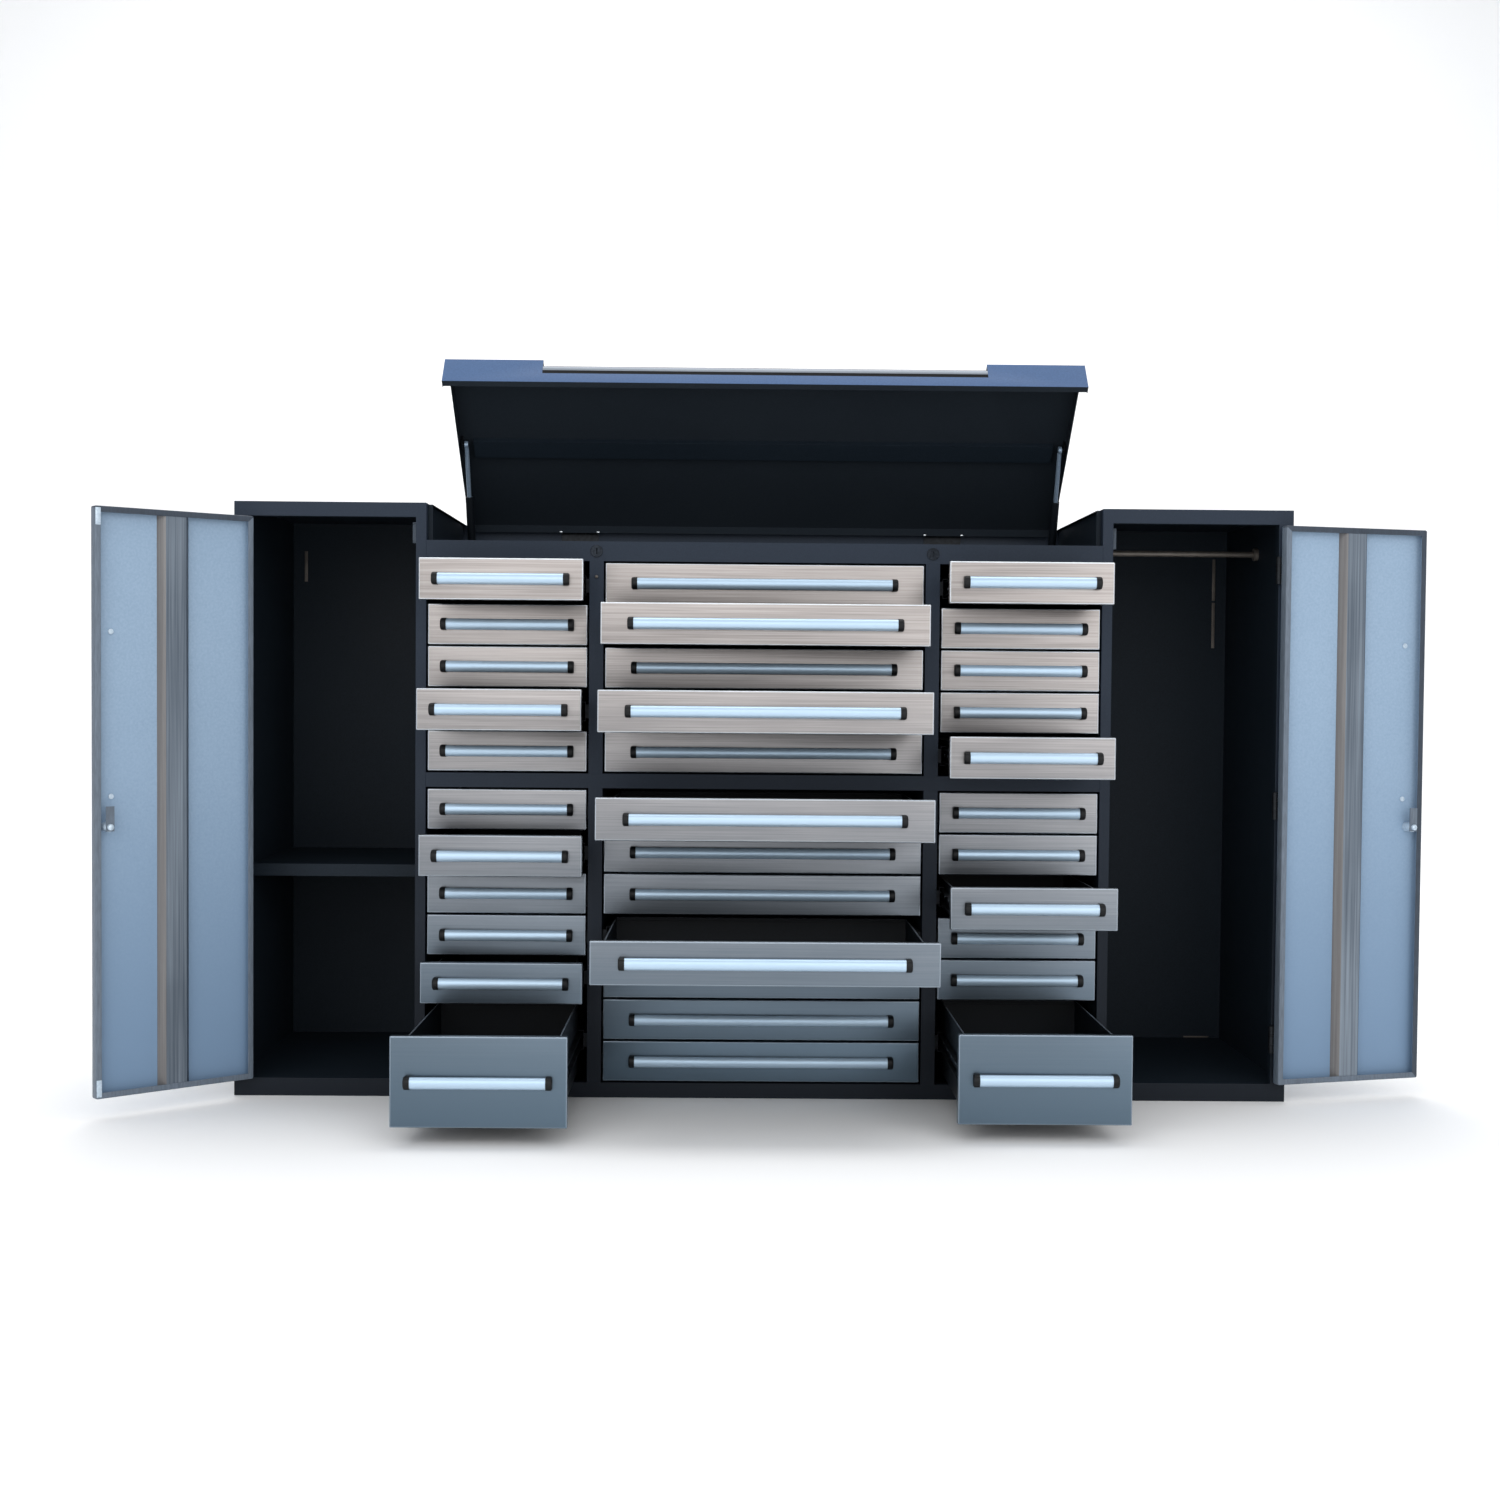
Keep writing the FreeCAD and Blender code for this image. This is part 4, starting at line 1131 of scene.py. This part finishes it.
@dataclass
class Lid:
    """Lid with its rib, hinge leaves, brackets and pull bar, and the two gas struts."""

    palette: Palette
    body: str = "lid"
    top: float = 1029.0 * MM
    front: float = -198.5 * MM
    axis_y: float = 213.5 * MM
    axis_z: float = 1015.0 * MM
    opened: float = 41.5
    bar_level: float = 1006.0 * MM
    bar_highlight_half: float = 5.2 * MM
    fitting_most: float = 500.0 * MM
    rib_most: float = 1120.0 * MM
    side_least: float = 560.0 * MM
    cap_most: float = 100.0 * MM

    def build(self) -> None:
        """Makes the lid's and the struts' pieces."""
        look = self.palette
        body = self.body
        coats = [look.lid_coat_painted_sky, look.lid_inside_painted_shade, look.black_oxide, look.inner_coat_painted_shade]
        Piece.softened("lid_panel", "lid_pan", coats, body, "lid_paint", 0.8 * MM, self.lid_pan_light_tone)
        # The bar's steel shows only as a painted highlight band round its middle; the bow above and below is
        # painted black as dark reflection.
        bar = [look.bar_steel, look.abs_black]
        Piece.softened("lid_pull_bar", "lid_pull", bar, body, "pull_aluminium", 0.3 * MM, self.bar_highlight_tone)
        for side in Side:
            tube, rod = side.word + "_strut_cylinder", side.word + "_strut_rod"
            Piece.softened(tube, tube + "_tube", [look.tray_enamel], tube, "strut_black", 0.4 * MM)
            Piece.softened(rod, rod + "_shaft", [look.rod_chrome], rod, "rod_steel", 0.3 * MM)

    def shut(self, vector: Vector, place: bool) -> Vector:
        """A stored point, or a direction, as it is with the lid shut."""
        pivot = Vector((0, self.axis_y, self.axis_z)) if place else Vector((0, 0, 0))
        return Matrix.Rotation(math.radians(self.opened), 3, "X") @ (vector - pivot) + pivot

    def lid_pan_light_tone(self, face: Face) -> int:
        """Blue coat with painted sky reflection outside the pan, painted shade inside it, a darker painted
        shade on the rib, black oxide on fittings.
        """
        if face.part.x < self.fitting_most:
            return 2
        if face.part.x < self.rib_most:
            return 3
        centre, normal = self.shut(face.centre, True), self.shut(face.normal, False)
        lip_face = centre.y < self.front + 0.5 * MM and normal.y < -0.5
        outer_side = normal.x * centre.x > 0 and abs(normal.x) > 0.5 and abs(centre.x) > self.side_least
        if lip_face or outer_side or (normal.z > 0.5 and centre.z > self.top - 0.5 * MM):
            return 0
        return 1

    def bar_highlight_tone(self, face: Face) -> int:
        """Steel band round the middle of the bar's bow as painted highlight, the rest of the bow black as
        painted dark reflection, black caps.
        """
        if face.part.x < self.cap_most:
            return 1
        centre, normal = self.shut(face.centre, True), self.shut(face.normal, False)
        bright = normal.y < -0.2 and abs(centre.z - self.bar_level) < self.bar_highlight_half
        return 0 if bright else 1


# ------------------------------------------------------------------ stage


@dataclass
class Stage:
    """Pale floor running up into a backdrop, soft lights, and the camera."""

    floor_front: float = -9.0
    floor_back: float = 3.2
    cove_radius: float = 1.6
    wall_top: float = 5.0
    half_width: float = 10.0
    focal_mm: float = 47.15
    sensor_mm: float = 36.0
    eye: tuple[float, float, float] = (-0.0570, -3.6287, 0.7142)
    pitch: float = 1.805
    yaw: float = -0.567
    roll: float = 0.476

    def build(self) -> None:
        """Makes floor, world, lights and camera."""
        self.floor()
        self.world()
        self.lamp("key_softbox", (-1.6, -4.8, 2.3), (0.0, 0.0, 0.5), 3.8, 70.0)
        self.lamp("fill_softbox", (2.4, -4.6, 1.9), (0.0, 0.0, 0.5), 3.2, 55.0)
        self.lamp("top_softbox", (0.0, 1.6, 4.4), (0.0, 1.4, 0.0), 4.5, 170.0)
        self.camera()
        scene = bpy.context.scene
        scene.view_settings.view_transform = "Standard"

    def floor(self) -> None:
        """Backdrop sheet: floor line, quarter arc of the cove's radius, wall line, carried along X."""
        angle = np.linspace(-math.pi / 2, 0, 16)
        arc_y = self.floor_back + self.cove_radius * np.cos(angle)
        arc_z = self.cove_radius * (1 + np.sin(angle))
        y = np.concatenate([[self.floor_front], arc_y, [self.floor_back + self.cove_radius]])
        z = np.concatenate([[0.0], arc_z, [self.wall_top]])
        x = np.array([-self.half_width, self.half_width])
        points = np.stack([np.tile(x, (len(y), 1)), np.tile(y[:, None], 2), np.tile(z[:, None], 2)], -1)
        index = np.arange(len(y) - 1) * 2
        quads = np.stack([index, index + 1, index + 3, index + 2], -1)
        mesh = bpy.data.meshes.new("studio_floor")
        mesh.from_pydata(points.reshape(-1, 3).tolist(), [], quads.tolist())
        mesh.materials.append(self.paper())
        mesh.polygons.foreach_set("use_smooth", np.ones(len(mesh.polygons), bool))
        sheet = bpy.data.objects.new("studio_floor", mesh)
        bpy.context.scene.collection.objects.link(sheet)

    def paper(self) -> bpy.types.Material:
        """Matt white background paper."""
        material = bpy.data.materials.new("studio_paper")
        material.use_nodes = True
        tree = material.node_tree
        shader = tree.nodes["Principled BSDF"]
        mottle = add(tree, "ShaderNodeTexNoise", {}, {"Scale": 2.0, "Detail": 2.0})
        tone = blend(tree, mottle.outputs["Fac"], linear("#fafafa"), linear("#fcfcfc"))
        tree.links.new(tone, shader.inputs["Base Color"])
        shader.inputs["Roughness"].default_value = 0.9
        return material

    def world(self) -> None:
        """Even white light from above the horizon, falling to pale grey below it."""
        world = bpy.data.worlds.new("studio")
        world.use_nodes = True
        tree = world.node_tree
        ground = tree.nodes["Background"]
        place = add(tree, "ShaderNodeTexCoord", {}, {})
        parts = add(tree, "ShaderNodeSeparateXYZ", {}, {"Vector": place.outputs["Generated"]})
        rise = add(
            tree,
            "ShaderNodeMapRange",
            {"interpolation_type": "SMOOTHSTEP"},
            {"Value": parts.outputs["Z"], "From Min": -0.25, "From Max": 0.25},
        )
        sky = blend(tree, rise.outputs[0], linear("#b9c0c8"), linear("#fafcff"))
        tree.links.new(sky, ground.inputs["Color"])
        ground.inputs["Strength"].default_value = 0.72
        bpy.context.scene.world = world

    def lamp(
        self,
        name: str,
        place: tuple[float, float, float],
        aim: tuple[float, float, float],
        size: float,
        watts: float,
    ) -> None:
        """Square soft light at place, aimed at a point."""
        light = bpy.data.lights.new(name, "AREA")
        light.shape = "SQUARE"
        light.size = size
        light.energy = watts
        lamp = bpy.data.objects.new(name, light)
        lamp.location = place
        lamp.rotation_euler = (Vector(aim) - Vector(place)).to_track_quat("-Z", "Y").to_euler()
        bpy.context.scene.collection.objects.link(lamp)

    def camera(self) -> None:
        """Camera in front, its axes turned by yaw, pitch and roll from looking along +Y."""
        turn = (
            Matrix.Rotation(math.radians(self.roll), 3, "Z")
            @ Matrix.Rotation(math.radians(self.pitch), 3, "X")
            @ Matrix.Rotation(math.radians(self.yaw), 3, "Y")
        )
        ahead = Matrix(((1, 0, 0), (0, 0, -1), (0, 1, 0)))
        flip = Matrix(((1, 0, 0), (0, -1, 0), (0, 0, -1)))
        axes = (flip @ turn @ ahead).transposed()
        data = bpy.data.cameras.new("camera")
        data.sensor_width = self.sensor_mm
        data.lens = self.focal_mm
        camera = bpy.data.objects.new("camera", data)
        camera.matrix_world = Matrix.Translation(self.eye) @ axes.to_4x4()
        bpy.context.scene.collection.objects.link(camera)
        bpy.context.scene.camera = camera


def main() -> None:
    """Builds the chest's looks and the stage round it."""
    logging.basicConfig(level=logging.INFO, format="%(name)s: %(message)s")
    palette = Palette()
    Carcass(palette).build()
    drawer = Drawer(palette)
    for node in sorted(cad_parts):
        if "_drawer_" in node and not node.endswith("_lock"):
            drawer.build(node)
    Doors(palette).build()
    Lid(palette).build()
    Stage().build()


if __name__ == "__main__":
    main()
